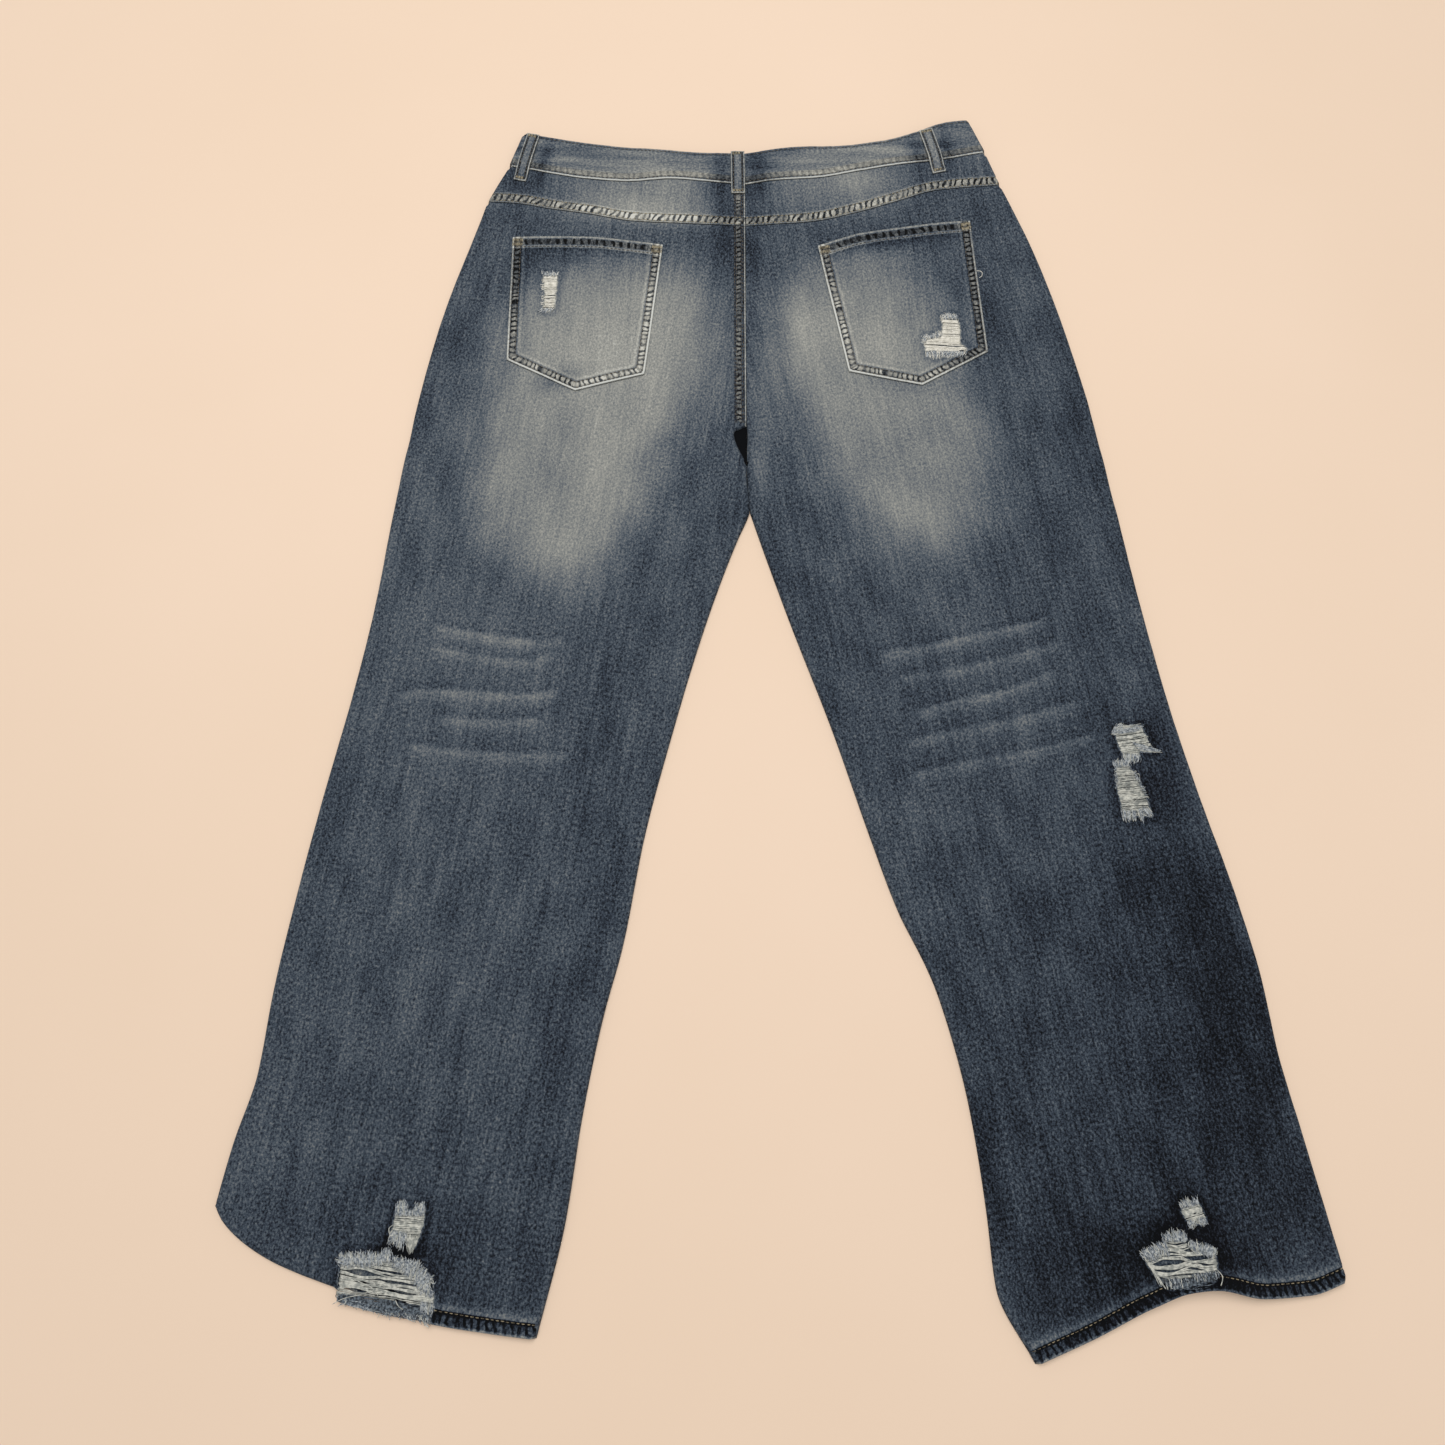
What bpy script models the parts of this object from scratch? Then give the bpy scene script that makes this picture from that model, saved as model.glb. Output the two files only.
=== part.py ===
"""Ripped wide-leg jeans, laid flat with the back side up.

Each piece that a maker cuts and sews is one closed solid: yokes, back and front legs, waistband,
patch pockets, belt loops, fly and button, and the weft threads that still bridge each rip.
Plan sizes are in millimetres, x across the garment and y up towards the waist. The cloth rises
from the floor in layers: the front layer lies flat, and the back layer arches over it and turns
down to the floor along the outseams and inseams.
"""
import math
from collections import namedtuple

import bpy
import numpy as np
from mathutils import Vector
from mathutils.bvhtree import BVHTree

MM = 0.001

# Thicknesses and clearances of the layers
CLOTH = 1.3
WAISTBAND = 2.4
LOOP_CLOTH = 1.8
SEAM_GAP = 0.3
LAY_GAP = 0.35
LAYER_SPACE = 2.4
WAIST_SPACE = 2.4
UNDER_LIFT = 2.1
FELLED_RISE = 0.9
HEM_RISE = 0.8
MOUTH_RISE = 0.9

# Widths of sewn bands
FELLED_WIDTH = 11.0
CENTRE_BAND = 12.0
HEM_WIDTH = 12.0
MOUTH_BAND = 14.0
BAND_STEP = 0.8

# Cutters reach from below the floor to well above the cloth
CUTTER_LOW = -20.0
CUTTER_TOP = 60.0
SPARE_HIGH = 20.0

# The turned-down edge: a small lip, then a quarter round
EDGE_RADIUS = 3.5
EDGE_LIP = 0.15
EDGE_STOPS = [0.0, EDGE_LIP, EDGE_LIP + EDGE_RADIUS * (1 - math.cos(math.radians(45))), EDGE_LIP + EDGE_RADIUS]

# The grid of rows and columns on a leg, and how finely its curves are read
ROW_PITCH = 42.0
INNER_COLUMNS = 8
CURVE_STEPS = 240
SEAM_FADE = 110.0

# The centre seam is sewn above its end, and the crotch's notch lies between it and the fork
CENTRE_X = -20.0
SEWN_ABOVE_Y = 225.0
FRONT_SPLIT_Y = 187.0
NOTCH_LOW_Y = 181.0
NOTCH_REACH = 40.0
NOTCH_FOOT = 1.7

# Where the loops and the button lift the front: a line that rises to both sides, and its fade
WAIST_LINE_Y = 475.0
WAIST_LINE_RISE = 50.0
WAIST_LINE_HALF = 245.0
WAIST_FADE_DROP = 110.0
WAIST_FADE_LENGTH = 95.0

# How far around a point the cloth below is felt
LOOP_REACH = 7.5
THREAD_REACH = 3.0

Section = namedtuple("Section", "name out_x out_y in_x in_y")
Fold = namedtuple("Fold", "x y angle length width height")
Rip = namedtuple("Rip", "name carrier x y angle rungs foot rows")

# One row for each section across a leg: the outseam point and the point on the centre seam or inseam
LEFT_LEG = [
    Section("yoke seam", -284, 483, -20, 453),
    Section("pocket mouth", -297, 437, -20, 408),
    Section("hip", -318, 362, -20, 335),
    Section("seat", -331, 298, -20, 275),
    Section("seam end", -339, 250, -20, 229),
    Section("notch", -340, 243, -32, 222),
    Section("notch foot", -344, 208, -22, 190),
    Section("crotch", -345, 202, -20.5, 184),
    Section("crotch low", -346, 196, -20.5, 178),
    Section("fork", -352, 145, -18.5, 134),
    Section("split", -355, 118, -27, 112),
    Section("thigh", -361, 55, -57, 30),
    Section("above knee", -375, -40, -87, -75),
    Section("knee", -392, -130, -111, -172),
    Section("calf", -408, -225, -127, -262),
    Section("crease", -419, -305, -143, -325),
    Section("shin", -424, -365, -157, -400),
    Section("flare", -438, -420, -168, -480),
    Section("hem", -447, -466, -187, -561),
]
RIGHT_LEG = [
    Section("yoke seam", 243, 503, -20, 453),
    Section("pocket mouth", 268, 436, -20, 408),
    Section("hip", 289, 362, -20, 335),
    Section("seat", 303, 298, -20, 275),
    Section("seam end", 312, 250, -20, 229),
    Section("notch", 313, 243, -19, 222),
    Section("notch foot", 318, 208, -18.5, 190),
    Section("crotch", 319, 202, -19.5, 184),
    Section("crotch low", 320, 196, -19.5, 178),
    Section("fork", 327, 145, -17.5, 134),
    Section("split", 331, 118, -9, 112),
    Section("thigh", 340, 50, 18, 30),
    Section("above knee", 354, -35, 54, -72),
    Section("knee", 374, -130, 85, -170),
    Section("calf", 397, -225, 106, -232),
    Section("bulge", 409, -290, 136, -300),
    Section("shin", 415, -350, 158, -392),
    Section("flare", 426, -410, 167, -470),
    Section("turn", 436, -465, 171, -525),
    Section("hem", 446, -520, 198, -579),
]

# Seam curves, from the outseam to the centre back or to the inseam
YOKE_SEAM = {
    "left": [(-284, 483), (-249, 480), (-214, 473), (-177, 467), (-135, 459), (-81, 456), (-20, 453)],
    "right": [(243, 503), (177, 496), (132, 482), (90, 468), (53, 459), (11, 455), (-20, 453)],
}
WAIST_SEAM = {
    "left": [(-264, 526), (-240, 521), (-182, 510), (-138, 507), (-98, 510), (-60, 507), (-20, 503)],
    "right": [(230, 543), (185, 534), (141, 528), (93, 519), (52, 511), (8, 508), (-20, 503)],
}
WAIST_TOP = {
    "left": [(-251, 567), (-232, 563), (-184, 554), (-137, 548), (-104, 546), (-65, 542), (-20, 541)],
    "right": [(214, 583), (190, 580), (154, 567), (124, 557), (79, 551), (30, 549), (-20, 541)],
}
HEM = {
    "left": [(-447, -466), (-440, -477), (-405, -503), (-340, -527), (-269, -550), (-230, -556), (-187, -561)],
    "right": [(446, -520), (415, -530), (379, -532), (340, -525), (321, -527), (292, -538), (248, -559),
              (198, -579)],
}
LEGS = {"left": LEFT_LEG, "right": RIGHT_LEG}

# The left hem rolls under to the floor up to here, so its corner is closed
ROLLED_HEM_X = -346.0
HEM_FADE_START = 4.0
HEM_FADE_LENGTH = 12.0

# The largest folds of the back layer: ridges are positive, troughs negative
FOLDS = [
    Fold(-388, -365, 78, 95, 26, -0.9),
    Fold(-425, -400, 70, 80, 24, 0.9),
    Fold(-215, -470, 18, 70, 30, 0.9),
    Fold(-250, -300, 80, 140, 40, 0.8),
    Fold(-180, -180, 78, 150, 38, -0.6),
    Fold(-290, -80, 84, 120, 45, 0.7),
    Fold(-200, 20, 70, 110, 45, 0.8),
    Fold(-80, 150, 60, 90, 32, 0.9),
    Fold(-120, 90, 66, 110, 30, -0.7),
    Fold(40, 150, -58, 90, 32, 0.9),
    Fold(80, 90, -66, 110, 30, -0.7),
    Fold(-190, 230, 10, 110, 45, 0.7),
    Fold(160, 225, -10, 110, 45, 0.7),
    Fold(-60, 400, 85, 90, 28, -0.6),
    Fold(20, 395, -85, 90, 28, -0.6),
    Fold(190, -10, -76, 150, 42, 0.8),
    Fold(300, -60, -80, 120, 40, -0.6),
    Fold(150, -220, -70, 130, 34, 0.9),
    Fold(260, -260, -78, 170, 40, -0.7),
    Fold(350, -300, -80, 120, 36, 0.8),
    Fold(225, -460, -78, 90, 32, -0.6),
]

# The arch that lifts both layers at the right hem
HEM_ARCH = Fold(338, -530, 0, 70, 46, 8.0)
ARCH_CUT = 0.25

POCKETS = {
    "left": [(-255, 440), (-192, 440), (-103, 430), (-119, 283), (-186, 265), (-254, 299)],
    "right": [(53, 429), (97, 443), (156, 453), (208, 459), (217, 308), (151, 271), (80, 286)],
}
POCKET_MOUTH_POINTS = {"left": 3, "right": 4}
POCKET_ROWS_ABOVE_Y = 200.0
POCKET_LENGTH = 200.0
POCKET_MARGIN = 20.0

# Belt loops: the middle of the top end and of the bottom end, and the width
Loop = namedtuple("Loop", "top_x top_y low_x low_y width")
BACK_LOOPS = {
    "left": Loop(-239, 563.5, -251, 507, 13),
    "centre": Loop(-27.5, 542, -27, 491, 14),
    "right": Loop(168, 570, 180, 517, 14),
}
FRONT_LOOPS = {
    "left": Loop(-118, 524, -122, 474, 13),
    "right": Loop(82, 527, 86, 477, 13),
}

# Each rip in its own axes: foot is where its threads begin, and rows give the height and the
# left and right edges of the hole
RIPS = [
    Rip("pocket_left", "pocket_left", -214, 375.5, 0, 9, -22.5,
        [(24, -7, 5), (18, -7, 7.5), (-17, -8, 7), (-23, -10, 4)]),
    Rip("pocket_right", "pocket_right", 175, 326, -4, 11, -21.5,
        [(24, -4, 10), (18, -4, 15), (0, -4, 14), (-3, -21, 15), (-11, -23, 17), (-22, -17, 19)]),
    Rip("knee_upper", "back_right", 318, -86, 10, 6, -17.5,
        [(17, -14, 9), (11, -18, 12), (-3, -11, 14), (-8, -9, 8), (-18, -6, 6)]),
    Rip("knee_lower", "back_right", 316, -130, 10, 8, -21.5,
        [(22, -13, 1), (14, -13, 7), (-4, -11, 13), (-16, -10, 15), (-22, -8, 18)]),
    Rip("hem_left_small", "back_left", -291, -480, -8, 6, -15.5,
        [(15, -8, 14), (3, -11, 14), (-8, -15, 12), (-16, -12, 9)]),
    Rip("hem_left_large", "back_left", -305, -519, -14, 9, -17.5,
        [(17, -32, 20), (11, -35, 32), (2, -35, 38), (-10, -35, 38), (-30, -34, 36)]),
    Rip("hem_right_small", "back_right", 329, -471, 18, 5, -12.5,
        [(14, -10, 8), (2, -8, 10), (-13, -5, 13)]),
    Rip("hem_right_large", "back_right", 314, -506, 12, 8, -11.5,
        [(18, -8, 6), (11, -24, 27), (2, -29, 29), (-6, -25, 31), (-12, -20, 24)]),
]
RAIL_WIDTH = 1.6
THREAD_CLOTH = 0.7
THREAD_CLEAR = 0.48
RUNG_SHARE = 0.6

# The front, which lies on the floor, clear of the turned-down edges of the back
FRONT_SEAM_DIP = 0.56
FRONT_TOP_DIP = 0.7
FRONT_DIP_POWER = 1.5
EDGE_SPARE = 0.05
ROLLED_SPARE = 0.25
ROLLED_REACH = 6.0
FLY_WIDTH = 38.0
FLY_TOP_Y = 520.0
FLY_FOOT_Y = 310.0
FLY_OVERLAP = 5.0
FLY_ARC_STEPS = 5
BUTTON_RADIUS = 8.5
BUTTON_BEVEL = 0.6
BUTTON_FACE = 1.75
BUTTON_X = -8.0
BUTTON_Y = 497.0

DENIM = (0.035, 0.062, 0.115, 1)
FADED = (0.22, 0.26, 0.31, 1)
SEAMED = (0.055, 0.085, 0.135, 1)
THREAD = (0.60, 0.60, 0.53, 1)
BRASS = (0.36, 0.27, 0.15, 1)


def make_material(name, colour, roughness, metallic=0.0):
    """A Principled material with one colour."""
    material = bpy.data.materials.new(name)
    material.use_nodes = True
    shader = material.node_tree.nodes["Principled BSDF"]
    shader.inputs["Base Color"].default_value = colour
    shader.inputs["Roughness"].default_value = roughness
    shader.inputs["Metallic"].default_value = metallic
    return material


def smoothstep(value):
    """0 below 0, 1 above 1, with soft ends between."""
    value = np.clip(value, 0.0, 1.0)
    return value * value * (3 - 2 * value)


# Curves

def monotone_curve(stations, values, wanted):
    """Cubic through the values that never overshoots them."""
    h = np.diff(stations)
    slope = np.diff(values) / h
    tangent = np.zeros(len(values))
    for k in range(1, len(values) - 1):
        if slope[k - 1] * slope[k] > 0:
            a = 2 * h[k] + h[k - 1]
            b = h[k] + 2 * h[k - 1]
            tangent[k] = (a + b) / (a / slope[k - 1] + b / slope[k])
    tangent[0] = slope[0]
    tangent[-1] = slope[-1]
    k = np.clip(np.searchsorted(stations, wanted, side="right") - 1, 0, len(h) - 1)
    u = (wanted - stations[k]) / h[k]
    return (
        values[k] * (1 + 2 * u) * (1 - u) ** 2
        + values[k + 1] * u * u * (3 - 2 * u)
        + h[k] * tangent[k] * u * (1 - u) ** 2
        - h[k] * tangent[k + 1] * u * u * (1 - u)
    )


def along_curve(points, positions):
    """Points at those distances along a smooth curve through the given points."""
    given = np.array(points, float)
    chord = np.concatenate([[0], np.cumsum(np.linalg.norm(np.diff(given, axis=0), axis=1))])
    fine = np.linspace(0, chord[-1], CURVE_STEPS)
    dense = np.stack([monotone_curve(chord, given[:, k], fine) for k in (0, 1)], axis=1)
    length = np.concatenate([[0], np.cumsum(np.linalg.norm(np.diff(dense, axis=0), axis=1))])
    wanted = np.asarray(positions) * length[-1]
    return np.stack([np.interp(wanted, length, dense[:, k]) for k in (0, 1)], axis=1)


# Heights of the layers, in millimetres above the floor

def ridge(fold, x, y):
    """A long soft ridge or trough with a bell-shaped section."""
    c, s = math.cos(math.radians(fold.angle)), math.sin(math.radians(fold.angle))
    along = (x - fold.x) * c + (y - fold.y) * s
    across = -(x - fold.x) * s + (y - fold.y) * c
    return fold.height * np.exp(-((along / fold.length) ** 2) - (across / fold.width) ** 2)


def hem_arch(x, y):
    """How far both layers are lifted off the floor at the right hem."""
    c = HEM_ARCH
    bell = c.height * np.exp(-(((x - c.x) / c.width) ** 2) - ((y - c.y) / c.length) ** 2)
    return np.maximum(bell - ARCH_CUT, 0.0)


def waist_share(x, y):
    """1 at the waist, where loops and button lift the front, and 0 on the legs."""
    line = WAIST_LINE_Y + WAIST_LINE_RISE * ((x - CENTRE_X) / WAIST_LINE_HALF) ** 2
    return smoothstep((y - (line - WAIST_FADE_DROP)) / WAIST_FADE_LENGTH)


def front_floor(x, y):
    """Underside of the front layer."""
    return UNDER_LIFT * waist_share(x, y) + hem_arch(x, y)


def back_inside(x, y):
    """Inside face of the back layer."""
    waves = sum(ridge(fold, x, y) for fold in FOLDS)
    return CLOTH + LAYER_SPACE + WAIST_SPACE * waist_share(x, y) + hem_arch(x, y) + waves


def edge_height(distance, foot, top):
    """Height of the outer face at that distance from a turned-down edge."""
    inset = np.clip(distance - EDGE_LIP, 0.0, EDGE_RADIUS)
    arc = top - EDGE_RADIUS + np.sqrt(EDGE_RADIUS**2 - (EDGE_RADIUS - inset) ** 2)
    lip = foot + (top - EDGE_RADIUS - foot) * np.clip(distance / EDGE_LIP, 0.0, 1.0)
    return np.where(distance < EDGE_LIP, lip, arc)


def distance_to(polyline, points):
    """Distance of each point from a polyline in plan."""
    nearest = np.full(points.shape[:-1], 1e9)
    for a, b in zip(polyline[:-1], polyline[1:]):
        d = b - a
        t = np.clip(((points - a) @ d) / max(d @ d, 1e-12), 0, 1)
        nearest = np.minimum(nearest, np.linalg.norm(points - (a + t[..., None] * d), axis=-1))
    return nearest


# Plan grids

def columns_for(side, length):
    """Distances of the columns along a row of that length, from the outseam to the inner edge."""
    edge = EDGE_STOPS[-1]
    inner = [length - d for d in reversed(EDGE_STOPS)]
    band = [length - CENTRE_BAND - BAND_STEP, length - CENTRE_BAND] if side == "left" else []
    last = band[0] if band else length - edge
    step = (last - edge) / (INNER_COLUMNS + 1)
    middle = [edge + step * (k + 1) for k in range(INNER_COLUMNS)]
    return np.array(EDGE_STOPS + middle + band + inner)


def seam_row(side, table):
    """Points of one seam curve at the column positions."""
    curve = table[side]
    length = float(np.sum(np.linalg.norm(np.diff(np.array(curve, float), axis=0), axis=1)))
    return along_curve(curve, columns_for(side, length) / length)


def nudge(row, towards, distance):
    """The row moved by a distance towards another row, point by point."""
    step = towards - row
    return row + step / np.linalg.norm(step, axis=1, keepdims=True) * distance


def leg_rows(side):
    """Plan rows of a leg from the yoke seam to the hem."""
    table = LEGS[side]
    t = np.array([table[0].out_y - s.out_y for s in table], float)
    columns = {name: np.array([getattr(s, name) for s in table], float) for name in Section._fields[1:]}
    stops = [0.0]
    for low, high in zip(t[:-1], t[1:]):
        count = max(1, math.ceil((high - low) / ROW_PITCH))
        stops += [low + (high - low) * (k + 1) / count for k in range(count)]
    stops = np.array(stops)
    points = {name: monotone_curve(t, values, stops) for name, values in columns.items()}
    rows = []
    for k in range(len(stops)):
        a = np.array([points["out_x"][k], points["out_y"][k]])
        b = np.array([points["in_x"][k], points["in_y"][k]])
        length = np.linalg.norm(b - a)
        rows.append(a + (b - a) * (columns_for(side, length) / length)[:, None])
    rows = np.array(rows)
    bend_top = seam_row(side, YOKE_SEAM) - rows[0]
    bend_hem = seam_row(side, HEM) - rows[-1]
    fade_top = smoothstep(1 - stops / SEAM_FADE)
    fade_hem = smoothstep(1 - (stops[-1] - stops) / SEAM_FADE)
    rows = rows + fade_top[:, None, None] * bend_top + fade_hem[:, None, None] * bend_hem
    rolled = EDGE_STOPS[1:] if side == "left" else []
    ends = [nudge(rows[-1], rows[-2], d) for d in [HEM_WIDTH + BAND_STEP, HEM_WIDTH, *reversed(rolled)]]
    return np.array([*rows[:-1], *ends, rows[-1]])


def shared_rows(side):
    """The three curves that the yoke, waistband and front hang between."""
    return seam_row(side, YOKE_SEAM), seam_row(side, WAIST_SEAM), seam_row(side, WAIST_TOP)


def at_height(rows, level):
    """A row between the yoke seam (0), the waist seam (1) and the waistband's top (2)."""
    level = np.asarray(level, float)[..., None]
    lower = rows[0] + (rows[1] - rows[0]) * np.clip(level, 0, 1)
    return lower + (rows[2] - rows[1]) * np.clip(level - 1, 0, 1)


# Solids

def add_object(name, vertices, faces, material):
    """A closed mesh object from points in millimetres."""
    mesh = bpy.data.meshes.new(name)
    mesh.from_pydata([Vector(v) * MM for v in vertices], [], faces)
    mesh.materials.append(material)
    mesh.validate()
    thing = bpy.data.objects.new(name, mesh)
    bpy.context.scene.collection.objects.link(thing)
    point_outward(mesh)
    return thing


def point_outward(mesh):
    """Turns a closed mesh the right way out by the sign of its volume."""
    mesh.calc_loop_triangles()
    volume = 0.0
    for tri in mesh.loop_triangles:
        a, b, c = (mesh.vertices[k].co for k in tri.vertices)
        volume += a.dot(b.cross(c))
    if volume < 0:
        mesh.flip_normals()


def slab(name, upper, lower, material):
    """A wall between two point grids of the same size, in triangles with matching diagonals."""
    rows, cols = upper.shape[:2]
    count = rows * cols
    vertices = np.concatenate([upper.reshape(-1, 3), lower.reshape(-1, 3)])
    faces = []
    for i in range(rows - 1):
        for j in range(cols - 1):
            a, b = i * cols + j, (i + 1) * cols + j
            faces += [(a, b, b + 1), (a, b + 1, a + 1)]
            faces += [(count + a, count + b + 1, count + b), (count + a, count + a + 1, count + b + 1)]
    rim = [(0, j) for j in range(cols)]
    rim += [(i, cols - 1) for i in range(1, rows)]
    rim += [(rows - 1, j) for j in range(cols - 2, -1, -1)]
    rim += [(i, 0) for i in range(rows - 2, 0, -1)]
    for (i0, j0), (i1, j1) in zip(rim, rim[1:] + rim[:1]):
        p, q = i0 * cols + j0, i1 * cols + j1
        faces += [(p, q, count + q), (p, count + q, count + p)]
    return add_object(name, vertices, faces, material)


def grid_normals(points):
    """Unit normals of a point grid, pointing up."""
    total = np.zeros_like(points)
    a, b, c, d = points[:-1, :-1], points[1:, :-1], points[1:, 1:], points[:-1, 1:]
    face = np.cross(c - a, d - b)
    total[:-1, :-1] += face
    total[1:, :-1] += face
    total[1:, 1:] += face
    total[:-1, 1:] += face
    total /= np.linalg.norm(total, axis=-1, keepdims=True)
    up = np.sign(total[points.shape[0] // 2, points.shape[1] // 2, 2])
    return total * up


def back_surface(plan, turned, thickness, foot):
    """Base points of a back piece: the layer's height, turned down along the given polylines."""
    x, y = plan[..., 0], plan[..., 1]
    top = back_inside(x, y) + thickness
    distance = np.full(x.shape, 1e9)
    for line in turned:
        distance = np.minimum(distance, distance_to(line, plan))
    return np.concatenate([plan, edge_height(distance, foot, top)[..., None]], axis=-1)


def back_piece(name, plan, turned, thickness, rise, foot, material):
    """A closed wall of one back piece, thicker by rise where a seam or hem is sewn."""
    base = back_surface(plan, turned, thickness, foot)
    normal = grid_normals(base)
    upper = base + normal * rise[..., None]
    lower = base - normal * thickness
    lower[..., 2] = np.maximum(lower[..., 2], foot)
    return slab(name, upper, lower, material), base


def prism(name, outline):
    """A cutter: an outline extruded right through the garment."""
    n = len(outline)
    vertices = [(x, y, z) for z in (CUTTER_LOW, CUTTER_TOP) for x, y in outline]
    faces = [tuple(range(n - 1, -1, -1)), tuple(range(n, 2 * n))]
    faces += [(k, (k + 1) % n, n + (k + 1) % n, n + k) for k in range(n)]
    cutter = add_object(name, vertices, faces, bpy.data.materials["cutter"])
    return cutter


def combine(target, other, operation):
    """Applies an exact Boolean to the target and removes the other object."""
    modifier = target.modifiers.new("cut", "BOOLEAN")
    modifier.operation = operation
    modifier.object = other
    graph = bpy.context.evaluated_depsgraph_get()
    result = bpy.data.meshes.new_from_object(target.evaluated_get(graph))
    target.modifiers.clear()
    target.data = result
    material = target["cloth"]
    result.materials.clear()
    result.materials.append(bpy.data.materials[material])
    bpy.data.objects.remove(other)


def mark(thing, material):
    """Remembers the cloth of a piece through Booleans."""
    thing["cloth"] = material.name
    return thing


# Pieces of the back

def leg_grid(side):
    """Plan grid of a back leg, and the rows and columns that its seams need."""
    rows = leg_rows(side)
    inner = rows[:, -1]
    open_rows = np.where(inner[:, 1] < SEWN_ABOVE_Y)[0]
    turned = [rows[:, 0], rows[open_rows[0]:, -1]]
    if side == "left":
        turned.append(rows[-1][rows[-1][:, 0] < ROLLED_HEM_X])
    return rows, turned


def leg_foot(plan):
    """Height of a leg's turned-down edge: the floor, or just above the front at the crotch notch."""
    x, y = plan[..., 0], plan[..., 1]
    notch = (np.abs(x - CENTRE_X) < NOTCH_REACH) & (y > NOTCH_LOW_Y)
    return np.where(notch, NOTCH_FOOT, hem_arch(x, y))


def build_back_leg(side, material):
    """Back leg from the yoke seam to the hem, with the felled centre seam on the left one."""
    plan, turned = leg_grid(side)
    shift = -SEAM_GAP / 2 if side == "left" else SEAM_GAP / 2
    stitched = plan[:, -1, 1] > SEWN_ABOVE_Y
    plan[stitched, -len(EDGE_STOPS):, 0] += shift
    plan[0] = nudge(plan[0], plan[1], SEAM_GAP / 2)
    rise = np.zeros(plan.shape[:2])
    hem_rows = len(EDGE_STOPS) if side == "left" else 1
    rise[-1 - hem_rows:] = HEM_RISE
    if side == "left":
        rise *= smoothstep((plan[..., 0] - ROLLED_HEM_X - HEM_FADE_START) / HEM_FADE_LENGTH)
        band = len(EDGE_STOPS) + 1
        rise[stitched, -band:] = FELLED_RISE
    piece, base = back_piece("back_" + side, plan, turned, CLOTH, rise, leg_foot(plan), material)
    return mark(piece, material), base


def build_yoke(side, material):
    """Yoke between the waist seam and the yoke seam, with its felled lower band."""
    rows = shared_rows(side)
    low = nudge(rows[0], rows[1], SEAM_GAP / 2)
    top = nudge(rows[1], rows[0], SEAM_GAP / 2)
    band = nudge(rows[0], rows[1], FELLED_WIDTH)
    step = nudge(rows[0], rows[1], FELLED_WIDTH + BAND_STEP)
    plan = np.array([top, (top + step) / 2, step, band, low])
    shift = -SEAM_GAP / 2 if side == "left" else SEAM_GAP / 2
    plan[:, -len(EDGE_STOPS):, 0] += shift
    rise = np.zeros(plan.shape[:2])
    rise[3:] = FELLED_RISE
    if side == "left":
        rise[:, -len(EDGE_STOPS) - 1:] = FELLED_RISE
    foot = np.zeros(plan.shape[:2])
    piece, _ = back_piece("yoke_" + side, plan, [plan[:, 0]], CLOTH, rise, foot, material)
    return mark(piece, material)


def build_back_waistband(material):
    """One band from side to side, double cloth, folded over at both sides."""
    halves = []
    for side in ("left", "right"):
        rows = shared_rows(side)
        low = nudge(rows[1], rows[2], SEAM_GAP / 2)
        halves.append(np.array([rows[2], (rows[2] + low) / 2, low]))
    middle = len(EDGE_STOPS)
    left = halves[0][:, :-middle]
    centre = halves[0][:, -1:]
    right = halves[1][:, ::-1][:, middle:]
    plan = np.concatenate([left, centre, right], axis=1)
    rise = np.zeros(plan.shape[:2])
    foot = np.zeros(plan.shape[:2])
    turned = [plan[:, 0], plan[:, -1]]
    piece, _ = back_piece("waistband_back", plan, turned, WAISTBAND, rise, foot, material)
    return mark(piece, material)


def build_pocket(side, base, material):
    """Patch pocket cut from the leg's own points, moved out, with a thicker mouth hem."""
    band = 2 if side == "left" else 0
    under = base[:, len(EDGE_STOPS) - 1:-len(EDGE_STOPS) - band].copy()
    under = under[under[:, 0, 1] > POCKET_ROWS_ABOVE_Y]
    under[..., 2] += LAY_GAP
    face = under + np.array([0, 0, CLOTH])
    outline = POCKETS[side]
    pocket = mark(slab("pocket_" + side, face + np.array([0, 0, MOUTH_RISE]), under, material), material)
    combine(pocket, prism("outline", outline), "INTERSECT")
    spare = mark(slab("spare", face + np.array([0, 0, SPARE_HIGH]), face, material), material)
    combine(spare, prism("outline", below_mouth(outline[:POCKET_MOUTH_POINTS[side]])), "INTERSECT")
    combine(pocket, spare, "DIFFERENCE")
    return pocket


def below_mouth(mouth):
    """A wide outline of all that lies below the mouth band, past the pocket's sides."""
    band = [(x, y - MOUTH_BAND) for x, y in mouth]
    left, right = band[0][0] - POCKET_MARGIN, band[-1][0] + POCKET_MARGIN
    foot = band[0][1] - POCKET_LENGTH
    return [(left, foot), (right, foot), (right, band[-1][1]), *reversed(band), (left, band[0][1])]


# What lies on the back: heights are read from the pieces below

def surface_tree(*things):
    """A search tree of the given pieces."""
    vertices, faces = [], []
    for thing in things:
        offset = len(vertices)
        vertices += [v.co / MM for v in thing.data.vertices]
        faces += [[offset + k for k in p.vertices] for p in thing.data.polygons]
    return BVHTree.FromPolygons(vertices, faces)


def height_under(tree, x, y, reach=LOOP_REACH):
    """Highest point of the pieces within reach of a plan point."""
    found = []
    for dx in (-reach, 0, reach):
        for dy in (-reach, 0, reach):
            hit = tree.ray_cast(Vector((x + dx, y + dy, CUTTER_TOP)), Vector((0, 0, -1)))[0]
            if hit is not None:
                found.append(hit.z)
    return max(found)


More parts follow.
